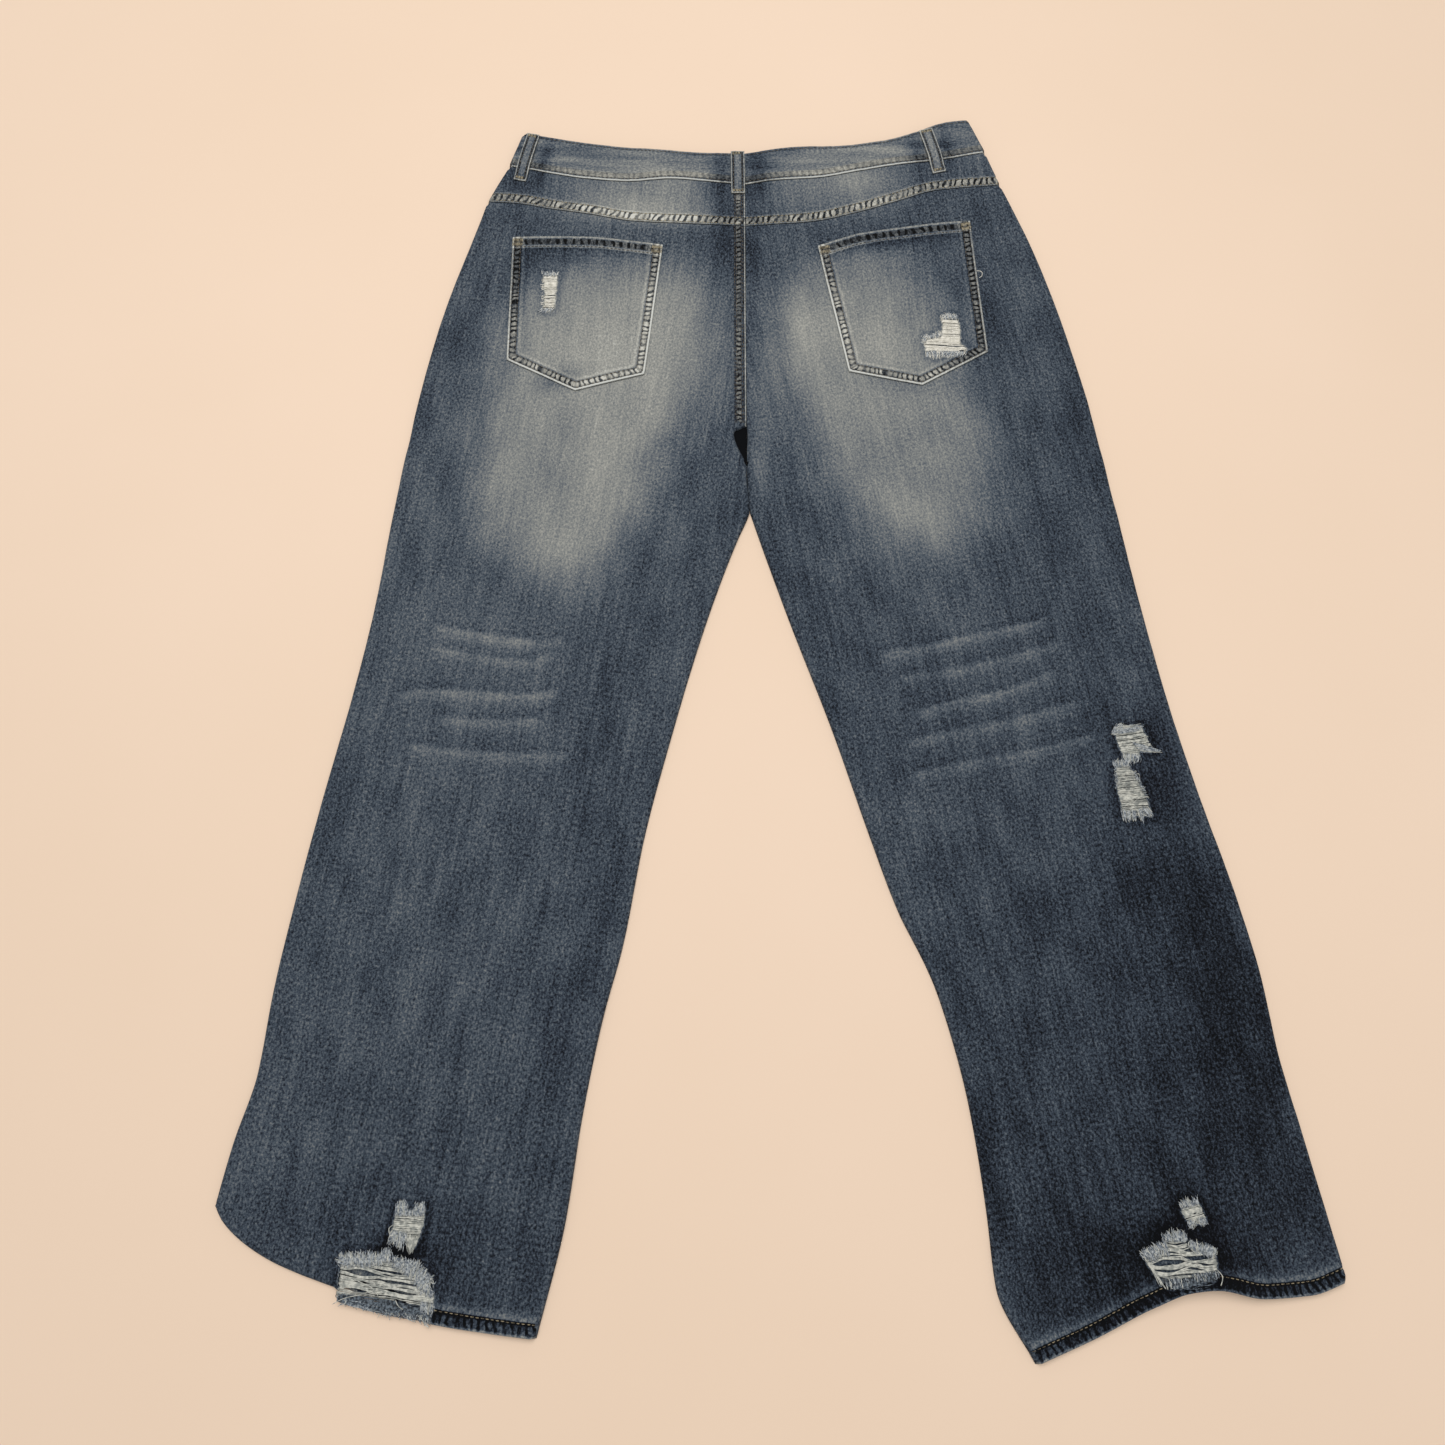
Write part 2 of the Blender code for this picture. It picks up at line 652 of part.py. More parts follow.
def strip_plan(loop, rows=9):
    """Plan grid of a belt loop, three points wide."""
    top = np.array([loop.top_x, loop.top_y], float)
    low = np.array([loop.low_x, loop.low_y], float)
    along = (low - top) / np.linalg.norm(low - top)
    across = np.array([-along[1], along[0]]) * loop.width / 2
    steps = np.linspace(0, 1, rows)
    line = top + (low - top) * steps[:, None]
    return np.stack([line - across, line, line + across], axis=1)


def build_back_loop(name, tree, material):
    """Belt loop over the waistband, from its top edge to just below the waist seam."""
    plan = strip_plan(BACK_LOOPS[name])
    under = np.array([[height_under(tree, x, y) for x, y in row] for row in plan]) + LAY_GAP
    lower = np.concatenate([plan, under[..., None]], axis=-1)
    upper = lower + np.array([0, 0, LOOP_CLOTH])
    return mark(slab("belt_loop_back_" + name, upper, lower, material), material)


# Rips

def rip_points(rip, local):
    """Points from a rip's own axes to the garment's plan."""
    c, s = math.cos(math.radians(rip.angle)), math.sin(math.radians(rip.angle))
    local = np.asarray(local, float)
    x = rip.x + local[..., 0] * c - local[..., 1] * s
    y = rip.y + local[..., 0] * s + local[..., 1] * c
    return np.stack([x, y], axis=-1)


def rip_outline(rip):
    """The hole's outline, down the left edge and up the right one."""
    left = [(l, v) for v, l, r in rip.rows]
    right = [(r, v) for v, l, r in reversed(rip.rows)]
    return [tuple(p) for p in rip_points(rip, left + right)]


def thread_height(rip, leg_tree, plan):
    """Underside of the threads: on the leg below a pocket, or in the middle of a leg's own wall."""
    if rip.carrier.startswith("pocket"):
        found = [[height_under(leg_tree, x, y, THREAD_REACH) for x, y in row] for row in plan]
        return np.array(found) + LAY_GAP
    return back_inside(plan[..., 0], plan[..., 1]) + (CLOTH - THREAD_CLOTH) / 2


def build_threads(rip, leg_tree, material):
    """Weft threads left across a rip: flat bundles between two rails, inside the hole."""
    heights = np.array([row[0] for row in rip.rows], float)[::-1]
    lefts = np.array([row[1] for row in rip.rows], float)[::-1]
    rights = np.array([row[2] for row in rip.rows], float)[::-1]
    clear = THREAD_CLEAR
    low, high = rip.foot, heights[-1] - clear
    pitch = (high - low) / (rip.rungs - (1 - RUNG_SHARE))
    stops = [low]
    for k in range(rip.rungs):
        stops += [low + k * pitch + RUNG_SHARE * pitch]
        if k < rip.rungs - 1:
            stops += [low + (k + 1) * pitch]
    stops = np.array(stops)
    window = np.linspace(-1, 1, 5)[:, None] * pitch + stops
    inner_left = np.interp(window, heights, lefts).max(axis=0) + clear
    inner_right = np.interp(window, heights, rights).min(axis=0) - clear
    middle = (inner_left + inner_right) / 2
    across = [inner_left, inner_left + RAIL_WIDTH, middle, inner_right - RAIL_WIDTH, inner_right]
    local = np.stack(across, axis=1)
    plan = rip_points(rip, np.stack([local, np.repeat(stops[:, None], 5, axis=1)], axis=-1))
    z = thread_height(rip, leg_tree, plan)
    lower = np.concatenate([plan, z[..., None]], axis=-1)
    upper = lower + np.array([0, 0, THREAD_CLOTH])
    solid = np.zeros((len(stops) - 1, 4), bool)
    solid[:, [0, 3]] = True
    solid[::2] = True
    return mark(cell_solid("threads_" + rip.name, upper, lower, solid, material), material)


def cell_solid(name, upper, lower, solid, material):
    """A closed plate of the cells that are solid in a grid."""
    rows, cols = upper.shape[:2]
    count = rows * cols
    vertices = np.concatenate([upper.reshape(-1, 3), lower.reshape(-1, 3)])
    faces = []
    for i, j in zip(*np.where(solid)):
        a, b, c, d = i * cols + j, (i + 1) * cols + j, (i + 1) * cols + j + 1, i * cols + j + 1
        faces += [(a, b, c), (a, c, d), (count + a, count + c, count + b), (count + a, count + d, count + c)]
        sides = [((i, j - 1), a, b), ((i + 1, j), b, c), ((i, j + 1), c, d), ((i - 1, j), d, a)]
        for (k, m), p, q in sides:
            inside = 0 <= k < solid.shape[0] and 0 <= m < solid.shape[1]
            if not (inside and solid[k, m]):
                faces += [(p, count + p, count + q), (p, count + q, q)]
    used = sorted({k for face in faces for k in face})
    index = {k: n for n, k in enumerate(used)}
    faces = [tuple(index[k] for k in face) for face in faces]
    return add_object(name, vertices[used], faces, material)


# Pieces of the front, which lies on the floor

def front_inner_inset(y):
    """How far the front stays inside the inner edge: clear of the wall below the crotch."""
    return np.where(y > FRONT_SPLIT_Y, SEAM_GAP / 2, CLOTH + LAY_GAP + EDGE_SPARE)


def front_plan(side):
    """Plan grid of a front leg, from the front waist seam to the hem."""
    leg = leg_rows(side)
    stops = len(EDGE_STOPS)
    keep = list(range(stops, leg.shape[1] - stops - (2 if side == "left" else 0)))
    inward = 1 if side == "left" else -1
    rows = shared_rows(side)
    share = np.linspace(0, 1, leg.shape[1]) ** FRONT_DIP_POWER
    top = nudge(at_height(rows, 1 - FRONT_SEAM_DIP * share), rows[0], SEAM_GAP / 2)
    grid = [top, *leg]
    plan = []
    for k, row in enumerate(grid):
        along = (row[-1] - row[0]) / np.linalg.norm(row[-1] - row[0])
        outer = row[0] + along * (CLOTH + LAY_GAP + EDGE_SPARE)
        inner = row[-1] - along * front_inner_inset(row[-1][1])
        plan.append(np.array([outer, *row[keep], inner]))
    plan = np.array(plan)
    if side == "left":
        plan = np.concatenate([plan[:-stops], plan[-1:]])
        rolled = plan[-1][:, 0] < ROLLED_HEM_X + ROLLED_REACH
        plan[-1][rolled] = nudge(plan[-1], plan[-2], CLOTH + LAY_GAP + ROLLED_SPARE)[rolled]
    straight = plan[:, -1, 1] > FRONT_SPLIT_Y
    plan[straight, -1, 0] = CENTRE_X - inward * SEAM_GAP / 2
    return plan


def build_front_leg(side, material):
    """Front leg, flat on the floor inside the turned-down edges of the back."""
    plan = front_plan(side)
    z = front_floor(plan[..., 0], plan[..., 1])
    lower = np.concatenate([plan, z[..., None]], axis=-1)
    upper = lower + np.array([0, 0, CLOTH])
    return mark(slab("front_" + side, upper, lower, material), material)


def build_front_waistband(side, material):
    """Half of the front band, from the side fold to the button tab."""
    rows = shared_rows(side)
    cols = rows[0].shape[0]
    share = np.linspace(0, 1, cols) ** FRONT_DIP_POWER
    low = nudge(at_height(rows, 1 - FRONT_SEAM_DIP * share), rows[2], SEAM_GAP / 2)
    top = at_height(rows, 2 - FRONT_TOP_DIP * share)
    keep = list(range(len(EDGE_STOPS), cols - len(EDGE_STOPS) - (2 if side == "left" else 0)))
    edge = WAISTBAND + LAY_GAP + EDGE_SPARE
    plan = []
    for row in (top, low):
        along = (row[-1] - row[0]) / np.linalg.norm(row[-1] - row[0])
        end = row[-1].copy()
        end[0] = CENTRE_X - SEAM_GAP / 2 if side == "left" else CENTRE_X + SEAM_GAP / 2
        plan.append(np.array([row[0] + along * edge, *row[keep], end]))
    plan = np.array(plan)
    z = np.full(plan.shape[:2], UNDER_LIFT)
    lower = np.concatenate([plan, z[..., None]], axis=-1)
    upper = lower + np.array([0, 0, WAISTBAND])
    return mark(slab("waistband_front_" + side, upper, lower, material), material)


def fly_outline(grow):
    """Fly on the left front: straight at the centre, with its foot curved like a J."""
    left, right = CENTRE_X - FLY_WIDTH - grow, CENTRE_X + FLY_OVERLAP
    turn = FLY_FOOT_Y + FLY_WIDTH
    points = [(right, FLY_TOP_Y), (left, FLY_TOP_Y), (left, turn)]
    for k in range(1, FLY_ARC_STEPS + 1):
        angle = math.radians(90 * k / FLY_ARC_STEPS)
        x = left + (FLY_WIDTH + grow) * (1 - math.cos(angle))
        points.append((x, turn - (FLY_WIDTH + grow) * math.sin(angle)))
    points.append((right, FLY_FOOT_Y - grow))
    return points


def build_fly(front, material):
    """The fly is cut out of the left front's own points and parted by a seam gap."""
    fly = mark(front.copy(), material)
    fly.data = front.data.copy()
    fly.name = "fly"
    bpy.context.scene.collection.objects.link(fly)
    combine(fly, prism("outline", fly_outline(0.0)), "INTERSECT")
    combine(front, prism("outline", fly_outline(SEAM_GAP)), "DIFFERENCE")
    return fly


def build_front_loop(name, material):
    """Belt loop under the front band, flat on the floor."""
    plan = strip_plan(FRONT_LOOPS[name], rows=2)
    lower = np.concatenate([plan, np.zeros((*plan.shape[:2], 1))], axis=-1)
    upper = lower + np.array([0, 0, BUTTON_FACE])
    return mark(slab("belt_loop_front_" + name, upper, lower, material), material)


def build_button(material):
    """Metal waist button under the tab: a turned disc with a soft rim, face down on the floor."""
    r, b, h = BUTTON_RADIUS, BUTTON_BEVEL, BUTTON_FACE
    profile = [(0, 0), (r - b, 0), (r, b), (r, h - b), (r - b, h), (0, h)]
    count = 24
    vertices = [(BUTTON_X, BUTTON_Y, 0), (BUTTON_X, BUTTON_Y, h)]
    rings = profile[1:-1]
    for radius, z in rings:
        for k in range(count):
            a = 2 * math.pi * k / count
            vertices.append((BUTTON_X + radius * math.cos(a), BUTTON_Y + radius * math.sin(a), z))
    faces = []
    for k in range(count):
        n = (k + 1) % count
        faces.append((0, 2 + n, 2 + k))
        for ring in range(len(rings) - 1):
            a, b2 = 2 + ring * count, 2 + (ring + 1) * count
            faces.append((a + k, a + n, b2 + n, b2 + k))
        last = 2 + (len(rings) - 1) * count
        faces.append((1, last + k, last + n))
    return mark(add_object("button_waist", vertices, faces, material), material)


def centre_on_origin():
    """Moves everything so that the origin is the middle of the garment's foot."""
    low = np.full(3, 1e9)
    high = np.full(3, -1e9)
    for thing in bpy.data.objects:
        points = np.array([v.co[:] for v in thing.data.vertices])
        low, high = np.minimum(low, points.min(axis=0)), np.maximum(high, points.max(axis=0))
    middle = (low + high) / 2
    for thing in bpy.data.objects:
        thing.location = (-middle[0], -middle[1], -low[2])


def main():
    """Builds every piece of the garment."""
    for thing in list(bpy.data.objects):
        bpy.data.objects.remove(thing)
    make_material("cutter", (1, 0, 0, 1), 0.5)
    denim = make_material("washed_denim", DENIM, 0.92)
    faded = make_material("faded_denim", FADED, 0.92)
    seamed = make_material("seamed_denim", SEAMED, 0.9)
    thread = make_material("weft_threads", THREAD, 0.95)
    brass = make_material("aged_brass", BRASS, 0.42, 1.0)

    back, base = {}, {}
    for side in ("left", "right"):
        back[side], base[side] = build_back_leg(side, denim)
    yokes = [build_yoke(side, denim) for side in ("left", "right")]
    band = build_back_waistband(seamed)
    pockets = {side: build_pocket(side, base[side], faded) for side in ("left", "right")}

    below = surface_tree(band, *yokes)
    for name in BACK_LOOPS:
        build_back_loop(name, below, seamed)

    leg_trees = {side: surface_tree(back[side]) for side in back}
    carriers = {"back_" + side: back[side] for side in back}
    carriers.update({"pocket_" + side: pockets[side] for side in pockets})
    for rip in RIPS:
        build_threads(rip, leg_trees[rip.carrier.split("_")[1]], thread)
    for rip in RIPS:
        combine(carriers[rip.carrier], prism("hole", rip_outline(rip)), "DIFFERENCE")

    fronts = {side: build_front_leg(side, denim) for side in ("left", "right")}
    for side in ("left", "right"):
        build_front_waistband(side, seamed)
    build_fly(fronts["left"], denim)
    for name in FRONT_LOOPS:
        build_front_loop(name, seamed)
    build_button(brass)
    centre_on_origin()


main()
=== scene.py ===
"""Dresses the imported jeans: faded denim shells, stitching, frayed rips, floor, light and camera.

The garment lies flat with its back up. Plan sizes are in millimetres in the pattern's own axes,
x across and y up towards the waist, and heights are above the floor. They become metres in the
frame of the CAD model when a mesh is made.
"""

import logging
import math
from dataclasses import dataclass, field
from enum import Enum
from typing import Callable, NamedTuple, Sequence

import bpy
import numpy as np
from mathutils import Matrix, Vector
from mathutils.bvhtree import BVHTree
from mathutils.geometry import delaunay_2d_cdt


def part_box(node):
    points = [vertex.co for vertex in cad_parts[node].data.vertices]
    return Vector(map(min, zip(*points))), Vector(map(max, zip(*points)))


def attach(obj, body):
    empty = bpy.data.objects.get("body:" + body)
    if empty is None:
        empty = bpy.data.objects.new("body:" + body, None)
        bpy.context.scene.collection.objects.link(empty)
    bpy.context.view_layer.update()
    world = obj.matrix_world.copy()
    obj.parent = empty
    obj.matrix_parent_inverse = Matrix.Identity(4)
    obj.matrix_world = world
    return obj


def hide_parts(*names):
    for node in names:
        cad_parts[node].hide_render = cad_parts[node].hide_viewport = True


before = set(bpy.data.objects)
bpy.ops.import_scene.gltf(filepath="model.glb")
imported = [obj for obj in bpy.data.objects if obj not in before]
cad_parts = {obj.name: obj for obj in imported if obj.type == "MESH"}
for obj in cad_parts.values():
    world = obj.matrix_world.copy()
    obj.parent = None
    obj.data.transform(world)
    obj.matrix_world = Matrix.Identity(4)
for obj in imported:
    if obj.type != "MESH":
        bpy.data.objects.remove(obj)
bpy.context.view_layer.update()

log = logging.getLogger("jeans")

Array = np.ndarray
Object = bpy.types.Object
Material = bpy.types.Material
Socket = bpy.types.NodeSocket
Point = tuple[float, float]
Line = tuple[Point, ...]
Height = Callable[[Array, Array], Array]
Top = Callable[[Array], Array]

MM = 0.001

# Layers, as in the CAD model
CLOTH = 1.3
WAISTBAND = 2.4
LOOP_CLOTH = 1.8
LAY_GAP = 0.35
SEAM_GAP = 0.3
LAYER_SPACE = 2.4
WAIST_SPACE = 2.4
UNDER_LIFT = 2.1
EDGE_RADIUS = 3.5
EDGE_LIP = 0.15
HEM_WIDTH = 12.0
CENTRE_BAND = 12.0
YOKE_BAND = 11.0
MOUTH_BAND = 14.0
CENTRE_X = -20.0
WAIST_CENTRE_Y = 503.0
SEAM_END_Y = 229.0
ROLLED_HEM_X = -346.0
FRONT_SPLIT_Y = 187.0
FLY_WIDTH = 38.0
FLY_FOOT_Y = 310.0
FRONT_HEM_SHORTER = 2.2
NOTCH_Y = 181.0
NOTCH_REACH = 40.0
NOTCH_FLOOR = 1.7
KNEE_LOW = -130.0
KNEE_TOP = 40.0
BUTTON_AT = (-8.0, 497.0)
BUTTON_FACE = 1.75
LOOP_FLAT = (0.0135, 0.051)

# How finely the cloth is meshed
PITCH = 4.0
KNEE_PITCH = 2.6
BAND_PITCH = 3.5
PATCH_PITCH = 3.0
RIP_PITCH = 1.6
LOOP_PITCH = 1.8
FRONT_PITCH = 6.0
FRONT_BAND_PITCH = 4.0
LEG_POINTS = 700
CURVE_POINTS = 240
STRAND_TAPER = 0.45

# Distances that stand for no seam near by
AWAY = 1000.0
FAR = 60.0

# Keeps the beads of one edge from repeating on the next
RUN_SHIFT = 41.3

# The photograph's camera, in the pattern's axes
CAMERA_AT = (-43.0, -321.0, 936.5)
CAMERA_TILT = 15.2
CAMERA_LENS = 27.03


class Section(NamedTuple):
    """Where one line across a leg meets the outseam, and the centre seam or inseam."""

    name: str
    out_x: float
    out_y: float
    in_x: float
    in_y: float


class Fold(NamedTuple):
    """A soft ridge or trough: its middle, direction, half length, half width, height and bend."""

    x: float
    y: float
    angle: float
    length: float
    width: float
    height: float
    bend: float = 0.0


class Loop(NamedTuple):
    """A belt loop: the middle of its top end and of its lower end, and its width."""

    top_x: float
    top_y: float
    low_x: float
    low_y: float
    width: float


class Side(Enum):
    """The side of the garment, as seen in the photograph."""

    LEFT = "left"
    RIGHT = "right"

    @property
    def out(self) -> int:
        """Direction along x that leads away from the centre seam."""
        return -1 if self is Side.LEFT else 1


def folds(*rows: tuple[float, ...]) -> tuple[Fold, ...]:
    """Folds from rows of their numbers."""
    return tuple(Fold(*row) for row in rows)


def sections(*rows: tuple[str, float, float, float, float]) -> tuple[Section, ...]:
    """Sections from rows of their names and places."""
    return tuple(Section(*row) for row in rows)


LEGS = {
    Side.LEFT: sections(
        ("yoke seam", -284, 483, -20, 453), ("pocket mouth", -297, 437, -20, 408),
        ("hip", -318, 362, -20, 335), ("seat", -331, 298, -20, 275), ("seam end", -339, 250, -20, 229),
        ("notch", -340, 243, -32, 222), ("notch foot", -344, 208, -22, 190),
        ("crotch", -345, 202, -20.1, 184), ("crotch low", -346, 196, -20.0, 178),
        ("fork", -352, 145, -17.4, 139), ("apex", -353, 137, -19.8, 131), ("split", -355, 118, -28, 112),
        ("thigh", -361, 55, -57, 30), ("above knee", -375, -40, -87, -75),
        ("knee", -392, -130, -111, -172), ("calf", -408, -225, -127, -262),
        ("crease", -419, -305, -143, -325), ("shin", -424, -365, -157, -400),
        ("flare", -438, -420, -168, -480), ("hem", -447, -466, -187, -561),
    ),
    Side.RIGHT: sections(
        ("yoke seam", 243, 503, -20, 453), ("pocket mouth", 268, 436, -20, 408),
        ("hip", 289, 362, -20, 335), ("seat", 303, 298, -20, 275), ("seam end", 312, 250, -20, 229),
        ("notch", 313, 243, -19, 222), ("notch foot", 318, 208, -18.5, 190),
        ("crotch", 319, 202, -20.0, 184), ("crotch low", 320, 196, -19.9, 178),
        ("fork", 327, 145, -17.3, 139), ("apex", 328.5, 137, -14.9, 131), ("split", 331, 118, -9, 112),
        ("thigh", 340, 50, 18, 30), ("above knee", 354, -35, 54, -72), ("knee", 374, -130, 85, -170),
        ("calf", 397, -225, 106, -232), ("bulge", 409, -290, 136, -300), ("shin", 415, -350, 158, -392),
        ("flare", 426, -410, 167, -470), ("turn", 436, -465, 171, -525), ("hem", 446, -520, 198, -579),
    ),
}
YOKE_SEAM = {
    Side.LEFT: ((-284, 483), (-249, 480), (-214, 473), (-177, 467), (-135, 459), (-81, 456), (-20, 453)),
    Side.RIGHT: ((243, 503), (177, 496), (132, 482), (90, 468), (53, 459), (11, 455), (-20, 453)),
}
WAIST_SEAM = {
    Side.LEFT: ((-264, 526), (-240, 521), (-182, 510), (-138, 507), (-98, 510), (-60, 507), (-20, 503)),
    Side.RIGHT: ((230, 543), (185, 534), (141, 528), (93, 519), (52, 511), (8, 508), (-20, 503)),
}
WAIST_TOP = {
    Side.LEFT: ((-251, 567), (-232, 563), (-184, 554), (-137, 548), (-104, 546), (-65, 542), (-20, 541)),
    Side.RIGHT: ((214, 583), (190, 580), (154, 567), (124, 557), (79, 551), (30, 549), (-20, 541)),
}
HEM = {
    Side.LEFT: ((-447, -466), (-440, -477), (-405, -503), (-340, -527), (-269, -550), (-230, -556),
                (-187, -561)),
    Side.RIGHT: ((446, -520), (415, -530), (379, -532), (340, -525), (321, -527), (292, -538), (248, -559),
                 (198, -579)),
}
POCKETS = {
    Side.LEFT: ((-255, 440), (-192, 440), (-103, 430), (-119, 283), (-186, 265), (-254, 299)),
    Side.RIGHT: ((53, 429), (97, 443), (156, 453), (208, 459), (217, 308), (151, 271), (80, 286)),
}
MOUTH_POINTS = {Side.LEFT: 3, Side.RIGHT: 4}
BACK_LOOPS = {
    "left": Loop(-239, 563.5, -251, 507, 13),
    "centre": Loop(-27.5, 542, -27, 491, 14),
    "right": Loop(168, 570, 180, 517, 14),
}
FRONT_LOOPS = {
    "left": Loop(-118, 524, -122, 474, 13),
    "right": Loop(82, 527, 86, 477, 13),
}

# The largest folds, as in the CAD model
FOLDS = folds(
    (-388, -365, 78, 95, 26, -0.9), (-425, -400, 70, 80, 24, 0.9), (-215, -470, 18, 70, 30, 0.9),
    (-250, -300, 80, 140, 40, 0.8), (-180, -180, 78, 150, 38, -0.6), (-290, -80, 84, 120, 45, 0.7),
    (-200, 20, 70, 110, 45, 0.8), (-80, 150, 60, 90, 32, 0.9), (-120, 90, 66, 110, 30, -0.7),
    (40, 150, -58, 90, 32, 0.9), (80, 90, -66, 110, 30, -0.7), (-190, 230, 10, 110, 45, 0.7),
    (160, 225, -10, 110, 45, 0.7), (-60, 400, 85, 90, 28, -0.6), (20, 395, -85, 90, 28, -0.6),
    (190, -10, -76, 150, 42, 0.8), (300, -60, -80, 120, 40, -0.6), (150, -220, -70, 130, 34, 0.9),
    (260, -260, -78, 170, 40, -0.7), (350, -300, -80, 120, 36, 0.8), (225, -460, -78, 90, 32, -0.6),
)
HEM_ARCH = Fold(338, -530, 0, 70, 46, 8.0)
ARCH_CUT = 0.25

# Smaller creases, placed along those in the photograph
CREASES = folds(
    (-385, -350, 74, 62, 13, -1.3, 10), (-379, -430, 96, 48, 11, -1.1, -6),
    (-402, -330, 68, 40, 12, 0.9, 4), (-352, -455, 30, 42, 13, 0.8, 5), (-225, -472, 9, 62, 9, -1.2, 6),
    (-225, -455, 12, 58, 12, 0.9, 6), (-160, -505, 78, 40, 12, 0.7, 3), (-150, -330, 58, 42, 10, 0.8, 4),
    (-175, -300, 50, 50, 13, -0.8, 6), (-300, -255, 82, 90, 16, 0.6, 9),
    (-230, -180, 86, 90, 17, -0.5, -8), (-140, -90, 62, 60, 13, 0.7, 6), (-120, -20, 56, 60, 14, -0.6, 6),
    (-75, 105, 44, 42, 9, 0.9, -5), (-60, 160, 52, 50, 9, -0.9, -6), (-48, 205, 38, 36, 8, 0.8, 3),
    (-90, 215, 20, 60, 12, -0.5, 4), (22, 108, -48, 42, 9, 0.9, 5), (10, 162, -56, 52, 9, -0.9, 6),
    (8, 212, -40, 36, 8, 0.8, -3), (60, 218, -18, 60, 12, -0.5, -4), (95, -120, -60, 60, 12, 0.8, 5),
    (120, -185, -58, 52, 10, -0.8, 5), (132, -262, -40, 38, 10, 1.2, -5),
    (158, -300, -52, 60, 13, -0.9, -8), (188, -395, -74, 80, 15, 0.7, 8),
    (185, -505, -80, 46, 10, -0.9, 5), (300, -400, -84, 90, 16, -0.6, -8),
    (392, -430, -78, 70, 14, 0.8, 6), (365, -505, -70, 40, 11, -1.0, 4), (300, -505, 62, 34, 11, -0.9, 4),
    (330, 60, -78, 90, 18, 0.5, 6), (-330, 60, 80, 90, 18, 0.5, -6), (-250, 470, 12, 50, 10, -0.4, 3),
    (180, 480, -12, 60, 10, -0.4, 3), (-60, 440, 70, 34, 9, 0.5, 3), (20, 440, -70, 34, 9, 0.5, 3),
)


# Numbers and curves

def linear(hex_colour: str) -> tuple[float, float, float, float]:
    """Turns an sRGB hex colour into linear values.

    Args:
        hex_colour: six hex digits, with or without a leading #.

    Returns:
        Linear red, green and blue, and an alpha of 1.
    """
    digits = hex_colour.lstrip("#")
    channels = [int(digits[k:k + 2], 16) / 255 for k in (0, 2, 4)]
    rgb = [c / 12.92 if c <= 0.04045 else ((c + 0.055) / 1.055) ** 2.4 for c in channels]
    return (*rgb, 1.0)


def smooth(value: Array) -> Array:
    """0 below 0, 1 above 1, with soft ends between."""
    value = np.clip(value, 0.0, 1.0)
    return value * value * (3 - 2 * value)


def bell(fold: Fold, x: Array, y: Array) -> Array:
    """Height of one fold, a bell across and along its bent line.

    Args:
        fold: the fold.
        x, y: plan points.

    Returns:
        The fold's height at each point.
    """
    c, s = math.cos(math.radians(fold.angle)), math.sin(math.radians(fold.angle))
    along = ((x - fold.x) * c + (y - fold.y) * s) / fold.length
    across = (-(x - fold.x) * s + (y - fold.y) * c - fold.bend * along**2) / fold.width
    return fold.height * np.exp(-(along**2) - across**2)


def monotone(stations: Array, values: Array, wanted: Array) -> Array:
    """Cubic through the values that never overshoots them.

    Args:
        stations: rising positions of the values.
        values: the values to pass through.
        wanted: positions to read.

    Returns:
        The curve's value at each wanted position.
    """
    h = np.diff(stations)
    slope = np.diff(values) / h
    tangent = np.zeros(len(values))
    for k in range(1, len(values) - 1):
        if slope[k - 1] * slope[k] > 0:
            a = 2 * h[k] + h[k - 1]
            b = h[k] + 2 * h[k - 1]
            tangent[k] = (a + b) / (a / slope[k - 1] + b / slope[k])
    tangent[0] = slope[0]
    tangent[-1] = slope[-1]
    k = np.clip(np.searchsorted(stations, wanted, side="right") - 1, 0, len(h) - 1)
    u = (wanted - stations[k]) / h[k]
    return (
        values[k] * (1 + 2 * u) * (1 - u) ** 2
        + values[k + 1] * u * u * (3 - 2 * u)
        + h[k] * tangent[k] * u * (1 - u) ** 2
        - h[k] * tangent[k + 1] * u * u * (1 - u)
    )


def unit(vectors: Array) -> Array:
    """The vectors, each made one long."""
    return vectors / np.maximum(np.linalg.norm(vectors, axis=1, keepdims=True), 1e-9)


def runs(line: Array) -> Array:
    """How far along a polyline each of its points lies."""
    return np.concatenate([[0], np.cumsum(np.linalg.norm(np.diff(line, axis=0), axis=1))])


def closed(ring: Array) -> Array:
    """The ring with its first point again at its end."""
    return np.concatenate([ring, ring[:1]])


def smooth_line(points: Sequence[Point]) -> Array:
    """A dense curve through a few plan points.

    Args:
        points: what it passes through.

    Returns:
        The curve's points.
    """
    given = np.array(points, float)
    chord = runs(given)
    fine = np.linspace(0, chord[-1], CURVE_POINTS)
    return np.stack([monotone(chord, given[:, k], fine) for k in (0, 1)], axis=1)


def length_of(line: Array) -> float:
    """Length of a polyline."""
    return float(np.linalg.norm(np.diff(line, axis=0), axis=1).sum())


def along(line: Array, wanted: Array) -> Array:
    """Points at the given lengths along a polyline."""
    run = runs(line)
    return np.stack([np.interp(wanted, run, line[:, k]) for k in (0, 1)], axis=1)


def spaced(line: Array, pitch: float) -> Array:
    """Points at about the given spacing along a polyline, both ends included."""
    length = runs(line)[-1]
    return along(line, np.linspace(0, length, max(1, round(length / pitch)) + 1))


def normals_left(line: Array) -> Array:
    """Unit normals on the left-hand side of a polyline's direction."""
    step = unit(np.gradient(line, axis=0))
    return np.stack([-step[:, 1], step[:, 0]], axis=1)


def offset_line(line: Array, distance: float) -> Array:
    """The polyline moved to the left of its direction."""
    return line + normals_left(line) * distance


